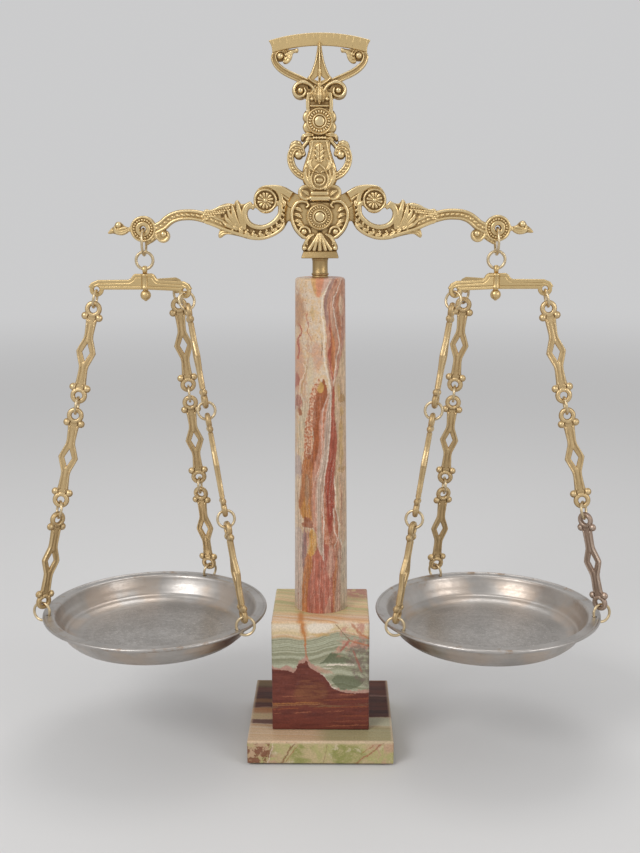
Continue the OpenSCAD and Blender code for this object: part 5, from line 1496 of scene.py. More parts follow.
VOLUTE_BAND = [(3.4, 95.6), (6.2, 99.2), (9.6, 101.3), (13.4, 101.9), (17, 100.7), (19.2, 98),
               (19.5, 94.8), (17.8, 92.2), (14.8, 91.3), (12, 92.4), (10.7, 94.8), (11.4, 97.4)]
VOLUTE, VOLUTE_R, LOBE, LOBE_R = (14.5, 96.5), 6.3, (10.8, 18.6), 6.2
HANDLE_EYE, UPPER = (16.5, 47.6), (0, 72.7)
HALF_Z, FACE_Z, SEAT_R, BUSH_R = 3.0, 8.0, 3.0, 4.05
SCREW_SEATS = (((8.6, -21.8), 8.0), ((7.4, 33.2), 9.0), (VOLUTE, 9.1))


# %% Foot and shield
def carve_foot(half):
    """A fan of flutes with a curled leaf on each side."""
    for flute, widths in (([(0, -12.4), (0, -19), (0, -25.8)], [1.0, 1.5, 1.7]),
                          ([(0.9, -13), (2.5, -19.4), (4.4, -25.6)], [0.9, 1.4, 1.6]),
                          ([(1.8, -14), (5, -20), (8.4, -25.4)], [0.8, 1.4, 1.7])):
        half.stroke(flute, widths, [8.9, 9.7, 9.2], 1.7, round_top, 0.06)
    half.stroke([(5, -13.6), (8.4, -15.4), (10.6, -18.6), (10, -21.6)], [1.0, 1.7, 1.8, 0.8],
                [8.9, 9.2, 8.9], 1.5, leaf_top, 0.1)
    half.stroke([(8.6, -16.6), (11.4, -19.6), (12.4, -22.6)], [0.8, 1.4, 0.9], [8.4, 8.9, 8.4], 1.3,
                leaf_top, 0.1)
    half.bead((12, -24.4), 1.9, 9.2, 0.9)


def carve_shield(half):
    """A border that curls in at both ends, tufts inside it, and two mouldings under the urn."""
    border = [(10.2, 7.4), (8.8, 8.8), (9.9, 10.9), (13.5, 12.1), (17.9, 10.9), (21, 6.4), (22, 1.5),
              (21, -4.5), (18.4, -9.8), (14.8, -13.8), (11.8, -16)]
    half.stroke(border, [1.0, 1.3, 1.5, 1.4, 1.3, 1.3], 9.6, 1.8, soft=0.1)
    for tuft in ([(19.8, 6.6), (17, 6.4), (14.6, 4.4)], [(20.4, 1.9), (17.2, 1.6), (14.6, -0.4)],
                 [(19.8, -3), (16.8, -3.2), (14.2, -4.8)], [(17.6, -6.6), (15, -6.2), (12.8, -7)]):
        half.stroke(tuft, [1.0, 1.9, 0.9], [8.4, 8.9, 8.7], 1.5, leaf_top, 0.08)
    half.stroke([(7.6, -12.2), (8.8, -9.2), (11.6, -7.8), (14.6, -8.5), (16, -11)], [1.0, 1.2, 1.0], 9.3,
                1.6, soft=0.1)
    half.bead((12.4, -11.5), 2.5, 9.9, 0.9)
    half.high -= 1.2 * np.exp(-(half.x**2 + (half.y + 11.2) ** 2) / 1.6)
    half.turned(LOBE, [(0, 7.7), (2.6, 7.6), (3.5, 8.0), (4.4, 8.8), (5.4, 9.0), (6.2, 8.4)])
    half.stroke([(LOBE[0] - 2.2, LOBE[1] - 1.8), (LOBE[0], LOBE[1] + 0.4), (LOBE[0] + 2, LOBE[1] + 1.2)],
                [1.0, 1.7, 1.1], 8.5, 1.2, leaf_top, 0.1)
    half.stroke([(0, 14.2), (6.6, 14.2)], [2.1], 10.3, 1.9, soft=0.2, steps=3)
    half.stroke([(0, 18), (5.4, 18)], [1.9], 10.0, 1.5, soft=0.2, steps=3)
    half.groove([(10.4, 10.4), (6.4, 11.4), (0, 11.9)], 0.5, 0.8)


# %% Urn and handle
def carve_urn(half):
    """A swelling body with arches and leaves on it, and a toothed leaf up its shoulder."""
    across = np.interp(half.y, [y for _, y in URN[:-1]], [max(x, 4) for x, _ in URN[:-1]])
    swell = np.interp(half.y, [19, 40, 56], [2.3, 2.3, 1.3]) * np.sqrt(np.clip((half.y - 19) / 5, 0, 1))
    domed = 7.6 + swell * np.sqrt(np.clip(1 - (half.x / across) ** 2, 0, 1))
    urn = (half.inside_of(URN + [(-x, y) for x, y in URN[::-1]]) > 0) & (half.y < 59)
    half.high[urn] = np.maximum(half.high[urn], domed[urn])
    for arch, w in (([(0, 21.2), (4.4, 22.8), (6.5, 27.4), (5.9, 32.6), (3.4, 37.2), (0, 40.4)], 0.85),
                    ([(0, 32.3), (2.2, 31.7), (3.7, 30), (3.9, 27.6), (2.6, 25.3), (0, 24.3)], 0.8),
                    ([(5.4, 33.4), (4.4, 34.8), (2.4, 35), (1, 33.8)], 0.6)):
        half.emboss(arch, [w], 0.95)
    half.emboss([(0, 28.2), (1.1, 28.2)], [1.7], 1.1, steps=2)
    half.emboss([(4.6, 35.4), (7.2, 38), (7.6, 41.6), (5.8, 44.4)], [0.7, 1.5, 1.3, 0.6], 0.9, leaf_top)
    half.emboss([(4, 21), (9, 25), (11.4, 31), (10.4, 37.4)], [0.7, 1.6, 1.7, 0.7], 1.1, leaf_top)
    half.emboss([(6.6, 23), (8.5, 29), (7.4, 36.4)], [0.7, 1.3, 0.6], 0.9, leaf_top)
    teeth = [(-1.5, 41), (0, 41), (3.6, 43), (2.3, 44.8), (4.7, 46.6), (2.9, 48.6), (4.9, 50.6),
             (2.6, 52.4), (3.8, 54.2), (0, 57.4), (-1.5, 57.4)]
    leaf = half.inside_of(teeth, curved=False)
    half.high += 1.0 * np.clip(leaf / 0.7, 0, 1)
    half.groove([(0, 41.5), (0, 57)], 0.4, 0.7, steps=2)
    for y in (42.2, 45.8, 49.6):
        half.groove([(0.5, y), (3.2, y + 2.6)], 0.3, 0.5, steps=2)
    half.emboss([(9.6, 41), (7.2, 48.4), (5.4, 57)], [0.9, 0.8], 0.9)


def carve_handle(half):
    half.stroke(HANDLE, [2.8, 3.0, 2.9, 2.2], 9.0, 1.4, beaded(12, 0, 0.45), 0.1)
    half.bead(HANDLE_EYE, 3.1, 9.9, 0.9)
    half.stroke(COLLAR_LINK, [1.3, 1.2], 8.5, 1.2)
    half.stroke(TUFT, [1.2, 2.0, 1.9, 0.9], [8.4, 8.9, 8.5], 1.5, leaf_top, 0.1)
    for at in ((15.6, 56.6), (18.6, 57.2), (21.4, 55.6)):
        half.bead(at, 1.3, 8.8)


# %% Collar, neck and volute
def carve_collar(half):
    half.stroke([(5.4, 62.6), (9.5, 62.9), (12.4, 61.7), (13.3, 59.4)], [1.2, 1.9, 1.7, 0.9],
                [9.1, 9.5, 9.3, 8.7], 1.6, leaf_top, 0.1)
    half.stroke([(5.6, 59.8), (8.6, 59.9), (10.6, 58.6)], [1.0, 1.4, 0.8], [9.1, 9.3, 8.7], 1.4, leaf_top,
                0.1)
    for x in (0, 2.15, 4.3):
        half.bead((x, 60.4), 1.15, 10.1)
    half.stroke([(0, 57.9), (6.4, 57.9)], [0.9], 9.4, 1.3, soft=0.1, steps=3)
    for y in (68.2, 76.2):
        half.turned((8.6, y), [(0, 8.6), (2.8, 8.4), (3.7, 8.0), (4.4, 7.2)], 0.15)


def carve_neck(half):
    """Plain sides, a hanging palmette between them and a volute at each shoulder."""
    half.stroke([(8.7, 79.6), (9.1, 84), (9.1, 89), (8.4, 93)], [1.5], 8.7, 0.7, flat_top, 0.12)
    half.stroke([(8.6, 103.6), (5, 101), (1.6, 98)], [0.9], 8.9, 1.2, soft=0.1)
    half.stroke(VOLUTE_BAND, [1.1, 1.35, 1.35, 1.3, 0.9], [9.0, 9.5, 9.6, 9.4], 2.0, soft=0.08)
    half.bead((14.6, 95.9), 2.3, 10.0, 0.95)
    for leaf, widths in (([(4.2, 97), (6, 93.6), (5.6, 89.6)], [0.8, 1.6, 1.0]),
                         ([(2.2, 97.4), (3.6, 92), (2.6, 87.4)], [0.9, 1.7, 0.8]),
                         ([(0, 98.6), (0, 92.8), (0, 86)], [1.6, 3.2, 0.8])):
        half.stroke(leaf, widths, [9.0, 9.8, 9.1], 1.6, fluted(3), 0.08)
    half.bead((5.9, 89.4), 1.5, 9.4)
    half.stroke([(0, 84.2), (6.4, 84.2)], [0.9], 9.4, 1.3, soft=0.1, steps=3)


def both_sides(outline):
    return outline + [(-x, y) for x, y in outline[::-1]]


# %% Cast the two halves
def carve_half():
    half = Relief((-26.1, -28), (26.1, 105), 0.31, 7.3)
    for outline in (SHIELD, URN, SIDE_LOBES):
        half.plate(both_sides(outline))
    for outline in (FOOT, LEAF_COLLAR, NECK):
        half.plate(both_sides(outline), curved=False)
    half.plate([(-7, 11), (7, 11), (7, 21), (-7, 21)], curved=False)
    for route, widths in ((HANDLE, [3.0, 2.2]), (TUFT, [1.5, 2.3, 2.2, 1.2]), (COLLAR_LINK, [1.5]),
                          (VOLUTE_BAND, [1.5])):
        half.stroke(route, widths, 7.4, 0.5, grow=True)
    for centre, r in ((LOBE, LOBE_R), (HANDLE_EYE, 3.4), (VOLUTE, VOLUTE_R),
                      ((15.6, 56.6), 1.4), ((18.6, 57.2), 1.4)):
        half.disc(centre, r)
    carve_foot(half)
    carve_shield(half)
    carve_urn(half)
    carve_handle(half)
    carve_collar(half)
    carve_neck(half)
    half.turned((0, 0), [(0, FACE_Z), (10.4, FACE_Z)])
    half.copy_right_to_left()
    half.disc((0, 0), BUSH_R, cut=True)
    return half


half = carve_half()
half.turned(UPPER, [(0, 8.4), (10.4, 8.4)])
add_brass("head_front_casting", half.casting(shoulder=0.6, back=HALF_Z), "stand", "head_front")

half.turned(UPPER, [(0, 9.2), (1.6, 9.0), (2.6, 8.3), (6.2, 8.3), (6.9, 9.0), (8.0, 9.0), (8.8, 8.4),
                    (10.4, 8.4)])
for side in (-1, 1):
    for (x, y), seat in SCREW_SEATS:
        half.turned((side * x, y), [(0, seat), (SEAT_R, seat)])
points, faces, marks = half.casting(shoulder=0.6, back=HALF_Z)
add_brass("head_back_casting", (*mirrored(points, faces, axis=2), marks), "stand", "head_back")

# %% [markdown]
# ## Rosettes
# The three rosettes are turned bosses with a ring of beads, so they start as a turned profile. The beads are
# then pushed up out of the flat between the two rings. On the upper one they are long, like the petals of a
# daisy.

# %% Turned rosettes with beads
def rosette(name, r, base_z, across, side, node, beads, bead_ring, stretch):
    rings = [(1.0, 0.0), (1.0, 1.5), (0.985, 1.9), (0.955, 2.3), (0.925, 2.4), (0.895, 2.25), (0.88, 1.9),
             (0.87, 1.4)]
    flat = [(s, 1.3) for s in np.linspace(0.86, 0.58, 20)]
    core = [(0.57, 1.6), (0.555, 2.2), (0.52, 2.65), (0.49, 2.75), (0.46, 2.6), (0.435, 2.1), (0.415, 1.7),
            (0.395, 1.9), (0.37, 2.6), (0.34, 2.95), (0.28, 3.15), (0.18, 3.3), (0.09, 3.36), (0.03, 3.38)]
    points, faces = lathe([(r * s, h) for s, h in rings + flat + core], 240)
    radius, angle = np.hypot(points[:, 0], points[:, 1]), np.arctan2(points[:, 1], points[:, 0])
    step = 2 * math.pi / beads
    bead_r = 0.44 * step * r * bead_ring
    nearest = (angle + step / 2) % step - step / 2
    off = np.hypot((radius - r * bead_ring) / stretch, radius * nearest)
    dome = np.sqrt(np.clip(1 - (off / bead_r) ** 2, 0, 1)) * bead_r * 1.2
    points[:, 2] += dome
    # Darkening in the channel round the beads and in the fine groove of the core: partly polish residue,
    # partly painted shade.
    channel_off = np.abs(radius / r - 0.72) / 0.15
    darkening = np.clip(1.6 - 1.6 * channel_off, 0, 1) * (off > bead_r * 0.85) * 0.9
    darkening = np.maximum(darkening, np.exp(-((radius / r - 0.415) / 0.025) ** 2))
    proud = np.clip(dome / bead_r + (points[:, 2] > 2.35), 0, 1)
    points[:, 2] = side * (base_z + points[:, 2])
    points[:, 1] += across
    if side < 0:
        faces = [f[:, ::-1] for f in faces]
    add_brass(name, (points, faces, {"hollow": darkening, "proud": proud}), "stand", node)


rosette("rosette_casting_front", 10.0, FACE_Z + 0.02, 0, 1, "rosette_front", 25, 0.74, 1.1)
rosette("rosette_casting_back", 10.0, FACE_Z + 0.02, 0, -1, "rosette_back", 25, 0.74, 1.1)
rosette("rosette_casting_upper", 10.2, 8.42, UPPER[1], 1, "rosette_upper", 23, 0.72, 1.5)

# %% [markdown]
# ## Lyre, arc and pointer
# The lyre rises out of the head and carries the arc, and the pointer swings in front of both. All three are
# thin castings. The arc is nearly plain, with fine engraved divisions, and the pointer is a lancet blade
# with raised borders, two small openings and a bright rib.

# %% The lyre
LYRE_ARM = [(5, 100.4), (12, 103.8), (18, 106.5), (24, 109.2), (29.5, 112.4), (33.8, 116.6), (35.5, 121),
            (34.2, 125.2), (30.6, 127), (27, 125.6), (25.8, 122.6), (27.2, 120)]
LYRE_WIDTHS = [2.7, 2.7, 2.6, 2.5, 2.2, 1.7, 1.1]
LYRE_LEAF = [(28, 127), (22, 127.2), (16.8, 128), (17, 125.2), (20.4, 124.6), (22, 120), (25.2, 117),
             (28.4, 118)]
LYRE_PLATE = [(0, 84), (8, 84), (9, 90), (14, 91), (14, 102), (8, 103), (0, 100)]
ARC_IN, ARC_OUT, ARC_HALF_ANGLE = 130.0, 139.5, math.radians(16.3)
LYRE_EYE = (30.4, 122.3)

lyre = Relief((-37.2, 83), (37.2, 131), 0.3, -1.0)
lyre.plate(LYRE_PLATE + [(-x, y) for x, y in LYRE_PLATE[:0:-1]], curved=False)
lyre.stroke(LYRE_ARM, LYRE_WIDTHS, -0.9, 0.4, grow=True)
lyre.plate(LYRE_LEAF)
lyre.disc(LYRE_EYE, 3.9)
lyre.disc(VOLUTE, 5.6)
lyre.stroke(LYRE_ARM, LYRE_WIDTHS, 0.35, 1.5, bordered, 0.1)
for path in ([(27.6, 118.2), (23.8, 118.6), (21.2, 121.8)], [(26.6, 120.4), (22.8, 121.6), (20, 124.6)],
             [(26, 123.2), (22, 124.6), (17.4, 126.6)]):
    lyre.stroke(path, [1.1, 1.9, 1.1], [0.2, 0.5, 0.1], 1.3, soft_leaf, 0.1)
lyre.bead((17.4, 126.6), 1.4, 0.5)
lyre.bead(LYRE_EYE, 2.6, 2.0, 1.0)
lyre.copy_right_to_left()
lyre.inside = np.minimum(lyre.inside, ARC_IN - 0.1 - np.hypot(lyre.x, lyre.y))
behind = -5 + 2 * np.clip((106.4 - lyre.y) / 1.4, 0, 1)
parts = [lyre.casting(shoulder=0.4, back=behind)]
brace = Relief((-37.2, 119), (37.2, 136), 0.4, -3.0)
brace.stroke([(31, 121), (31.6, 127), (32.4, 132)], [2.5, 2.0], -3.0, 0.1, flat_top, grow=True)
brace.copy_right_to_left()
parts.append(brace.casting(shoulder=0.2, back=-4.8))
add_brass("lyre_casting", joined_marked(parts), "stand", "lyre_frame")

# %% The index arc and its divisions
ARC_FRONT, ARC_BACK, DIVISIONS = -0.4, -2.98, 7
arc = Relief((-42, 119), (42, 141), 0.26, ARC_FRONT)
radius = np.hypot(arc.x, arc.y)
turn_at = np.abs(np.arctan2(arc.x, arc.y))
arc.inside = np.minimum(np.minimum(ARC_OUT - radius, radius - ARC_IN), (ARC_HALF_ANGLE - turn_at) * radius)
bite_r, bite_out = 12.0, 11.3
for side in (-1, 1):
    mid = (ARC_IN + ARC_OUT) / 2
    centre = (side * (mid * math.sin(ARC_HALF_ANGLE) + bite_out * math.cos(ARC_HALF_ANGLE)),
              mid * math.cos(ARC_HALF_ANGLE) - bite_out * math.sin(ARC_HALF_ANGLE))
    arc.disc(centre, bite_r, cut=True)
step = 2 * ARC_HALF_ANGLE / (2 * DIVISIONS + 1)
for k in range(-DIVISIONS, DIVISIONS + 1):
    long = 3.8 if k % 5 == 0 else 2.2
    ends = [((ARC_OUT - d) * math.sin(k * step), (ARC_OUT - d) * math.cos(k * step))
            for d in (0.8, 0.8 + long)]
    arc.groove(ends, 0.26, 0.14, steps=2)
add_brass("index_arc_plate", arc.casting(shoulder=0.5, back=ARC_BACK), "stand", "index_arc")

# %% The pointer
POINTER_SIDE = [(1.6, 99), (3, 100.5), (9.3, 105), (7.4, 108.2), (5.3, 113.2), (3.6, 118.2), (2.5, 123.2),
                (1.5, 129.2)]
blade = bend_through(POINTER_SIDE)
pointer = Relief((-9.2, 7.6), (9.2, 134), 0.2, 1.9)
right_edge = [tuple(p) for p in blade]
pointer.plate(right_edge + [(0, 133.2)] + [(-x, y) for x, y in right_edge[::-1]], curved=False)
pointer.plate([(-1.6, 12), (1.6, 12), (1.6, 100), (-1.6, 100)], curved=False)
pointer.plate([(-3.4, 8.4), (3.4, 8.4), (3.4, 18), (-3.4, 18)], curved=False)
pointer.stroke([(0, 14), (0, 60), (0, 101)], [1.6, 1.6], 2.5, 0.9, steps=2)
for edge, w in (([(1.8, 100.9), (7.9, 105), (6.1, 108.8), (4.3, 113.4), (2.7, 118.4), (1.6, 124)], 0.8),
                ([(0.6, 102.2), (0.9, 108.4), (0.6, 112)], 0.5)):
    pointer.stroke(edge, [w, w * 0.7], 2.7, 0.9, soft=0.08)
pointer.stroke([(0, 106), (0, 118), (0, 132.6)], [0.6, 0.8, 0.4], [2.8, 3.3, 2.9], 1.2, soft=0.08)
pointer.copy_right_to_left()
for side in (-1, 1):
    pointer.plate([(side * x, y) for x, y in ((1, 103.4), (1, 107.4), (4.4, 104.6))], curved=False,
                  cut=True)
for y in POINTER_SCREWS:
    pointer.disc((0, y), POINTER_SCREW_R, cut=True)
add_brass("pointer_blade", pointer.casting(shoulder=0.4, back=PLATE_FRONT), "beam", "pointer")

# %% [markdown]
# ## Post and foot plate
# The post is turned brass with a small collar, and the plate under the head is a cast block with softened
# edges. A thin tongue on it fills the gap between the two halves of the head.

# %% The post and the foot plate
COLUMN_TOP, HEAD_Z = 394.0, 409.5
POST_R, COLLAR_R, BORE_R = 6.2, 7.0, 3.05


def round_off(profile, r=0.35):
    """Cuts each outer corner of a turned profile with two points."""
    p = np.asarray(profile, float)
    out = [p[0]]
    for before, corner, after in zip(p[:-2], p[1:-1], p[2:]):
        for other in (before, after):
            d = other - corner
            out.append(corner + d * min(0.45, r / max(np.hypot(*d), 1e-6)))
    return out + [p[-1]]


post = [(BORE_R, 0), (POST_R + 0.5, 0), (POST_R + 0.5, 1.0), (POST_R, 1.4), (POST_R, 1.8), (COLLAR_R, 2.1),
        (COLLAR_R, 3.2), (POST_R, 3.6), (POST_R - 0.1, 9), (POST_R, 13.6), (POST_R + 0.4, 14),
        (POST_R + 0.4, 15.5),
        (3.9, 15.5), (3.9, 20), (1.0, 20)]
points, faces = lathe(round_off(post), 96)
points = (points + [0, 0, COLUMN_TOP]) * MM
# The post takes the darker brass: painted shade under the head.
add_piece("turned_post", points, faces, shaded_brass, "stand", ["neck_post"])


def soft_block(low_half, high_half, z0, z1, bevel):
    """A block that tapers upward, with rounded edges."""
    shape = bmesh.new()
    bmesh.ops.create_cube(shape, size=2)
    for v in shape.verts:
        wide, deep = high_half if v.co.z > 0 else low_half
        v.co = (v.co.x * wide, v.co.y * deep, z1 if v.co.z > 0 else z0)
    if bevel:
        bmesh.ops.bevel(shape, geom=shape.edges[:], offset=bevel, segments=4, profile=0.5, affect="EDGES")
    bmesh.ops.triangulate(shape, faces=shape.faces[:])
    shape.verts.index_update()
    points = np.array([v.co[:] for v in shape.verts])
    faces = [np.array([[v.index for v in f.verts] for f in shape.faces])]
    shape.free()
    return points, faces


plate = soft_block((15, 10.5), (13.2, 8.7), HEAD_Z, HEAD_Z + 5.5, 0.8)
tongue = soft_block((11.4, 3), (11.4, 3), HEAD_Z + 4.5, HEAD_Z + 15, 0.2)
points, faces = joined(plate, tongue)
# The foot plate takes the darker brass: painted shade under the head.
add_piece("cast_foot_plate", points * MM, faces, shaded_brass, "stand", ["foot_plate"])
print("post and foot plate ready")

# %% [markdown]
# ## Rings, stems and yokes
# A ring is drawn wire bent round and butted, so each has a fine seam. The stem is turned, with an eye at the
# top and a ball that carries the yoke. The yoke is three cast plates round a hub, with a line engraved
# along their edge.

# %% Wire rings
def wire_loop(middle_r, wire_r, seam=0.4, around=80, section=18):
    """A ring about the x axis with a fine seam where the wire's ends meet."""
    a = np.linspace(0, 2 * math.pi, around, endpoint=False)[:, None]
    b = np.linspace(0, 2 * math.pi, section, endpoint=False)[None, :]
    off = np.abs((a - seam + math.pi) % (2 * math.pi) - math.pi)
    r = wire_r * (1 - 0.22 * np.exp(-(off / 0.035) ** 2)) * (1 + 0.02 * np.sin(3 * a + 1))
    out = middle_r + r * np.cos(b)
    points = np.stack([r * np.sin(b) + 0 * a, out * np.cos(a), out * np.sin(a)], axis=2).reshape(-1, 3)
    i, j = np.meshgrid(np.arange(around), np.arange(section), indexing="ij")
    i2, j2 = (i + 1) % around, (j + 1) % section
    quads = np.stack([i * section + j, i2 * section + j, i2 * section + j2, i * section + j2], axis=2)
    return points, [quads.reshape(-1, 4)]


EYE_Z, HOOK_R, HANG_R, WIRE_R, HANG_WIRE_R = PIVOT_Z + EYE[1], 10.4, 6.8, 1.1, 1.2
HOOK_TOP = EYE_Z + 0.2
HOOK_LOW = HOOK_TOP - 2 * HOOK_R
HANG_Z = HOOK_LOW + WIRE_R + HANG_WIRE_R + 0.3 - HANG_R
STEM_EYE_Z = HANG_Z - HANG_R + HANG_WIRE_R + 0.45 - 2.1
YOKE_LOW = 384.5
BALL_R, STEM_R = 4.25, 2.0
BALL_Z = YOKE_LOW - 0.3 - BALL_R


def per_side(name, points, faces, material, body, node, marks=None):
    """Places a piece of the left side, given about its stem, and its mirror image on the right."""
    left = points + [-ARM_L, 0, 0]
    right_points, right_faces = mirrored(left, faces)
    for side, p, f in (("left", left, faces), ("right", right_points, right_faces)):
        finish = material[side] if isinstance(material, dict) else material
        add_piece(f"{name}_{side}", p * MM, f, finish, f"{body}_{side}", [f"{node}_{side}"], marks)


points, faces = wire_loop(HOOK_R, WIRE_R, 1.0)
per_side("hook_wire", points + [0, 0, HOOK_TOP - HOOK_R], faces, ring_wire, "hook",
         "hook_ring")
points, faces = wire_loop(HANG_R, HANG_WIRE_R, 2.2)
points = points[:, [1, 0, 2]] * [1, -1, 1]
per_side("hang_wire", points + [0, 0, HANG_Z], faces, ring_wire, "ring", "suspension_ring")
print("hook and suspension rings ready")


# %% Stems with an eye and a ball
def ball_profile(r, z, low, high, steps=20):
    """Part of a ball's profile between two angles in degrees, from below to above."""
    return [(r * math.cos(a), z + r * math.sin(a)) for a in np.radians(np.linspace(low, high, steps))]


stem = [(0.3, BALL_Z - BALL_R - 0.5), (1.0, BALL_Z - BALL_R - 0.4), (1.2, BALL_Z - BALL_R - 0.1)]
stem += ball_profile(BALL_R, BALL_Z, -72, 60)
stem += [(STEM_R, BALL_Z + 4), (STEM_R, STEM_EYE_Z - 3.4), (STEM_R + 0.25, STEM_EYE_Z - 3.1),
         (1.4, STEM_EYE_Z - 2.6)]
rod = lathe(stem, 48)
ring = [(2.1, -0.9), (2.3, -1.4), (2.7, -1.6), (3.0, -1.3), (3.1, 0), (3.0, 1.3), (2.7, 1.6), (2.3, 1.4),
        (2.1, 0.9)]
eye_points, eye_faces = lathe(ring, 48, closed=True)
eye_points = eye_points[:, [2, 0, 1]] + [0, 0, STEM_EYE_Z]
points, faces = joined(rod, (eye_points, eye_faces))
per_side("turned_stem", points, faces, brass, "stem", "yoke_stem")


# %% Yokes
LUGS = [(-39.5, 0), (34.5, -19), (20.5, 33)]
YOKE_T, HUB_R, HUB_H, HUB_BORE_R, LUG_R, LUG_HOLE_R = 2.4, 3.4, 12.5, 2.05, 5.6, 2.3


def yoke_plate(reach):
    plate = Relief((1, -7), (reach + 8, 15), 0.3, YOKE_T / 2)
    plate.plate([(0, 0), (reach + 2, 0), (reach + 6.6, 2), (reach + 4, 5.6), (reach - 1, 7.6), (13.5, 7.8),
                 (11.5, 9), (9.5, 11.6), (8, HUB_H), (0, HUB_H)], curved=False)
    plate.disc((reach, 0), LUG_R)
    plate.outline_line(2.6, 0.24, 0.32)
    plate.disc((reach, 0.1), LUG_HOLE_R, cut=True)
    return plate.casting(shoulder=0.45)


parts = []
for lug in LUGS:
    points, faces, marks = yoke_plate(math.hypot(*lug))
    u, v, w = points.T
    a = math.atan2(lug[1], lug[0])
    points = np.stack([u * math.cos(a) + w * math.sin(a), u * math.sin(a) - w * math.cos(a), YOKE_LOW + v],
                      axis=1)
    parts.append((points, faces, marks))
hub = lathe(round_off([(HUB_BORE_R, 1), (HUB_BORE_R, 0), (HUB_R, 0), (HUB_R, 2), (HUB_R - 0.4, 2.6),
                       (HUB_R - 0.4, 10), (HUB_R, 10.6), (HUB_R, HUB_H), (HUB_BORE_R, HUB_H),
                       (HUB_BORE_R, 11)], 0.3), 48, closed=True)
parts.append((hub[0] + [0, 0, YOKE_LOW], hub[1], {title: np.full(len(hub[0]), 0.15) for title in MARKS}))
points, faces, marks = joined_marked(parts)
per_side("yoke_casting", points, faces, brass, "pan_set", "yoke", marks)
print("yokes", len(points))

# %% [markdown]
# ## Chains
# Each pan hangs on three chains, and each chain is three flat stamped links with wire rings between them. A
# link has an eye at each end, a pair of balls under each eye and a diamond opening at its middle. The
# links and rings turn a little against each other, as they do on the real chain, and a ring never turns so
# far that its wire would cut into an eye. Their places follow from the two ends of the chain.

# %% Where the links and rings are
RIM_ANGLES, RIM_RING_TURNS = [193, -34, 69], [162, 0, 50]
LINK_TURNS = [[90, 94, 137], [15, 10, 22], [102, 95, 75]]
RING_TURNS = [[90, 92, 116], [38, 12, 16], [124, 98, 86]]
CHAINS = ["outer", "front", "back"]
RING_R, RIM_RING_R, RIM_RING_RISE, RIM_HOLE_AT, LIP_MID = 6.9, 7.4, 3.5, 89.2, 113.5
LINK_HOLE_R, SLACK, LUG_Z = 3.0, 0.4, 384.6
HOLD, LUG_HOLD = LINK_HOLE_R - WIRE_R - SLACK, LUG_HOLE_R - WIRE_R - SLACK


def facing(degrees):
    return np.array([math.cos(math.radians(degrees)), math.sin(math.radians(degrees)), 0])


class Chain:
    def __init__(self, c):
        out = math.sqrt(RIM_RING_R**2 - RIM_RING_RISE**2)
        self.foot = RIM_HOLE_AT * facing(RIM_ANGLES[c]) + out * facing(RIM_RING_TURNS[c])
        self.foot[2] = LIP_MID + RIM_RING_RISE
        self.top = np.array([*LUGS[c], LUG_Z])
        self.span = np.linalg.norm(self.top - self.foot)
        self.up = (self.top - self.foot) / self.span
        self.link_l = (self.span - LUG_HOLD - 6 * RING_R - 6 * HOLD - RIM_RING_R) / 3

    def link_mid(self, k):
        pitch = self.link_l + 2 * HOLD + 2 * RING_R
        return LUG_HOLD + 2 * RING_R + HOLD + k * pitch + self.link_l / 2

    def ring_mid(self, k):
        return LUG_HOLD + RING_R if k == 0 else self.link_mid(k) - self.link_l / 2 - HOLD - RING_R

    def place(self, points, down, azimuth):
        """Stands a piece on the chain: its z lies along it and its y faces the azimuth."""
        y = facing(azimuth) - (facing(azimuth) @ self.up) * self.up
        y /= np.linalg.norm(y)
        return points @ np.array([np.cross(y, self.up), y, self.up]) + self.top - self.up * down


chains = [Chain(c) for c in range(3)]
parts = []
for c, chain in enumerate(chains):
    for k in range(3):
        loop, faces = wire_loop(RING_R, WIRE_R, 0.9 + 1.7 * k + c)
        parts.append((chain.place(loop, chain.ring_mid(k), RING_TURNS[c][k]), faces))
    loop, faces = wire_loop(RIM_RING_R, WIRE_R, 2.6 + c)
    parts.append((chain.place(loop, chain.span, RIM_RING_TURNS[c]), faces))
points, faces = joined(*parts)
per_side("chain_wires", points, faces, ring_wire, "pan_set", "chain_rings")
print("links are", [round(chain.link_l, 1) for chain in chains], "mm between their eyes")


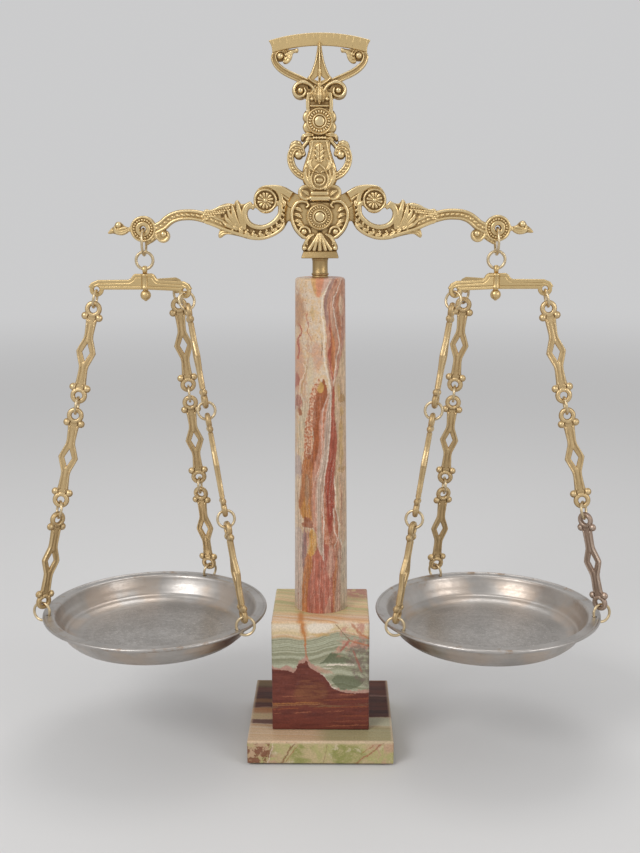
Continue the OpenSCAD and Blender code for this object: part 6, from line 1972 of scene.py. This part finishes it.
# %% Stamped links
def stamped_link(length):
    half = length / 2
    link = Relief((-9.3, -half - 7.5), (9.3, half + 7.5), 0.3, 1.35)
    lower = [(4.6, -half + 3), (6, -half + 6), (4.5, -half + 9), (4.1, -half + 12), (3.5, -15),
             (3.8, -11.4)]
    side = lower + [(8, 0)] + [(x, -y) for x, y in lower[::-1]]
    link.plate(side + [(-x, y) for x, y in side[::-1]], curved=False)
    for e in (-1, 1):
        link.disc((0, e * half), 6.7)
        link.disc((5.6, e * (half - 6.4)), 3.0)
    link.stroke([(3.0, -half + 10), (2.9, -13.5), (3.6, -10.4), (6.8, 0), (3.6, 10.4), (2.9, 13.5),
                 (3.0, half - 10)], [0.8, 0.9, 0.8], 2.0, 0.8, soft=0.1, steps=5)
    link.stroke([(0, 9.4), (0, 14), (0, half - 13)], [1.4, 1.0, 0.5], [1.7, 1.6, 1.4], 0.6)
    link.stroke([(0, -9.4), (0, -14), (0, -half + 13)], [1.4, 1.0, 0.5], [1.7, 1.6, 1.4], 0.6)
    link.plate([(0, -7.4), (3.2, 0), (0, 7.4), (-3.2, 0)], curved=False, cut=True)
    for e in (-1, 1):
        link.turned((0, e * half), [(0, 1.2), (3.0, 1.4), (3.8, 2.0), (4.8, 2.15), (5.8, 1.9), (6.7, 1.2)],
                    0.1)
        link.bead((5.6, e * (half - 6.4)), 3.0, 2.5, 1.0)
        link.groove([(1.4, e * (half - 9)), (2.6, e * (half - 10.6)), (3.0, e * (half - 12.6))], 0.3, 0.3)
        link.groove([(2.6, e * (half - 4.6)), (3.4, e * (half - 7)), (2.8, e * (half - 8.6))], 0.3, 0.5)
    link.copy_right_to_left()
    for e in (-1, 1):
        link.disc((0, e * half), LINK_HOLE_R, cut=True)
    points, faces, marks = link.casting(shoulder=0.7)
    return points[:, [0, 2, 1]] * [1, -1, 1], faces, marks


for c, chain in enumerate(chains):
    points, faces, marks = stamped_link(chain.link_l)
    for k in range(3):
        placed = chain.place(points, chain.link_mid(k), LINK_TURNS[c][k]) + [-ARM_L, 0, 0]
        other, flipped = mirrored(placed, faces)
        for side, p, f in (("left", placed, faces), ("right", other, flipped)):
            worn = side == "right" and c == 0 and k == 2
            add_piece(f"stamped_link_{side}_{CHAINS[c]}_{k + 1}", p * MM, f, worn_link if worn
                      else link_brass, f"pan_set_{side}",
                      [f"link_{side}_{CHAINS[c]}_{k + 1}"], marks)
print("links", 18, "of", len(points), "points")

# %% [markdown]
# ## Pans
# A pan is spun from one sheet: a nearly flat floor, a curved wall with a few ridges where the tool stopped,
# a flat lip and a rolled edge. The profile is turned about the pan's own middle, and three holes are then
# drilled through the lip for the rings, as the maker would do.

# %% Spun pans
PAN_R, PAN_TOP, PAN_DEPTH, PAN_T, EDGE_R, RIM_HOLE_R = 94.5, 115.0, 23.0, 1.4, 1.5, 2.1
FLOOR_Z, LIP_Z = PAN_TOP - PAN_DEPTH - PAN_T, PAN_TOP - EDGE_R - PAN_T / 2


def pan_profile():
    inner = bend_through([(0.5, FLOOR_Z + PAN_T + 1), (40, FLOOR_Z + PAN_T + 0.3),
                          (66, FLOOR_Z + PAN_T + 1.4), (76, FLOOR_Z + 7.6), (82, LIP_Z - 5), (84, LIP_Z),
                          (85.4, LIP_Z + PAN_T)], steps=14)
    outer = bend_through([(84.6, LIP_Z - 0.4), (83, LIP_Z - 5.4), (77, FLOOR_Z + 6.4),
                          (66.6, FLOOR_Z + 0.3), (40, FLOOR_Z), (0.5, FLOOR_Z)], steps=14)
    for line in (inner, outer):
        r = line[:, 0]
        line[:, 1] += 0.3 * np.sin((r - 74) * 1.5) * np.clip((r - 73) / 3, 0,
                                                             1) * np.clip((83.4 - r) / 1.5, 0, 1)
        line[:, 1] += 0.05 * np.sin(r * 0.9) * np.clip((70 - r) / 20, 0, 1)
    lip = [(86.2, LIP_Z + PAN_T + 0.05), (88, LIP_Z + PAN_T), (91, LIP_Z + PAN_T)]
    bead = [(PAN_R - EDGE_R + EDGE_R * math.cos(a), LIP_Z + PAN_T / 2 + EDGE_R * math.sin(a))
            for a in np.radians(np.arange(150, -151, -15))]
    under = [(91, LIP_Z), (88, LIP_Z), (86, LIP_Z)]
    return np.concatenate([inner, lip, bead, under, outer])[::-1]


def drill(pan, sign):
    """Cuts the three ring holes through the lip and keeps the result as the pan's own mesh."""
    cutters = []
    for a in RIM_ANGLES:
        bpy.ops.mesh.primitive_cylinder_add(radius=RIM_HOLE_R * MM, depth=12 * MM, vertices=32)
        cutter = bpy.context.object
        cutter.location = (facing(a) * [sign, 1, 1] * RIM_HOLE_AT + [sign * -ARM_L, 0, LIP_MID]) * MM
        hole = pan.modifiers.new("hole", "BOOLEAN")
        hole.object = cutter
        hole.solver = "EXACT"
        cutters.append(cutter)
    bpy.context.view_layer.update()
    cut = bpy.data.meshes.new_from_object(pan.evaluated_get(bpy.context.evaluated_depsgraph_get()))
    pan.modifiers.clear()
    pan.data = cut
    for cutter in cutters:
        bpy.data.objects.remove(cutter)


points, faces = lathe(pan_profile(), 256)
angle, radius = np.arctan2(points[:, 1], points[:, 0]), np.hypot(points[:, 0], points[:, 1])
points[:, 2] += 0.22 * np.sin(2 * angle + 0.6) * (radius / PAN_R) ** 2 - 0.05
points[:, 2] = np.minimum(points[:, 2], PAN_TOP)
for side, sign in (("left", 1), ("right", -1)):
    p, f = points + [-ARM_L, 0, 0], faces
    if sign < 0:
        p, f = mirrored(p, f)
    pan = add_piece(f"spun_pan_{side}", p * MM, f, pan_skin[side], f"pan_set_{side}",
                    [f"pan_{side}"])
    drill(pan, sign)
print("pans", len(points), "points each")

# %% [markdown]
# ## Stone, felt and hidden fixings
# The stones, the felt and the fixings keep the solids of the model, which already have their true shape and
# soft edges. They only need their materials.

# %% Materials for the pieces that stay
FINISH = {**stone, "base_felt": felt, "tie_rod": steel, "tie_washer": steel, "tie_nut": steel,
          "pivot_pin": steel, "bush_front": brass, "bush_back": brass, "spacer_sleeves": brass,
          "head_screws": brass, "arc_rivets": brass, "pointer_screws": brass}
for name, material in FINISH.items():
    for holder in frame["nodes"][name].material_slots:
        holder.material = material
print("dressed", len(FINISH), "pieces of the model")
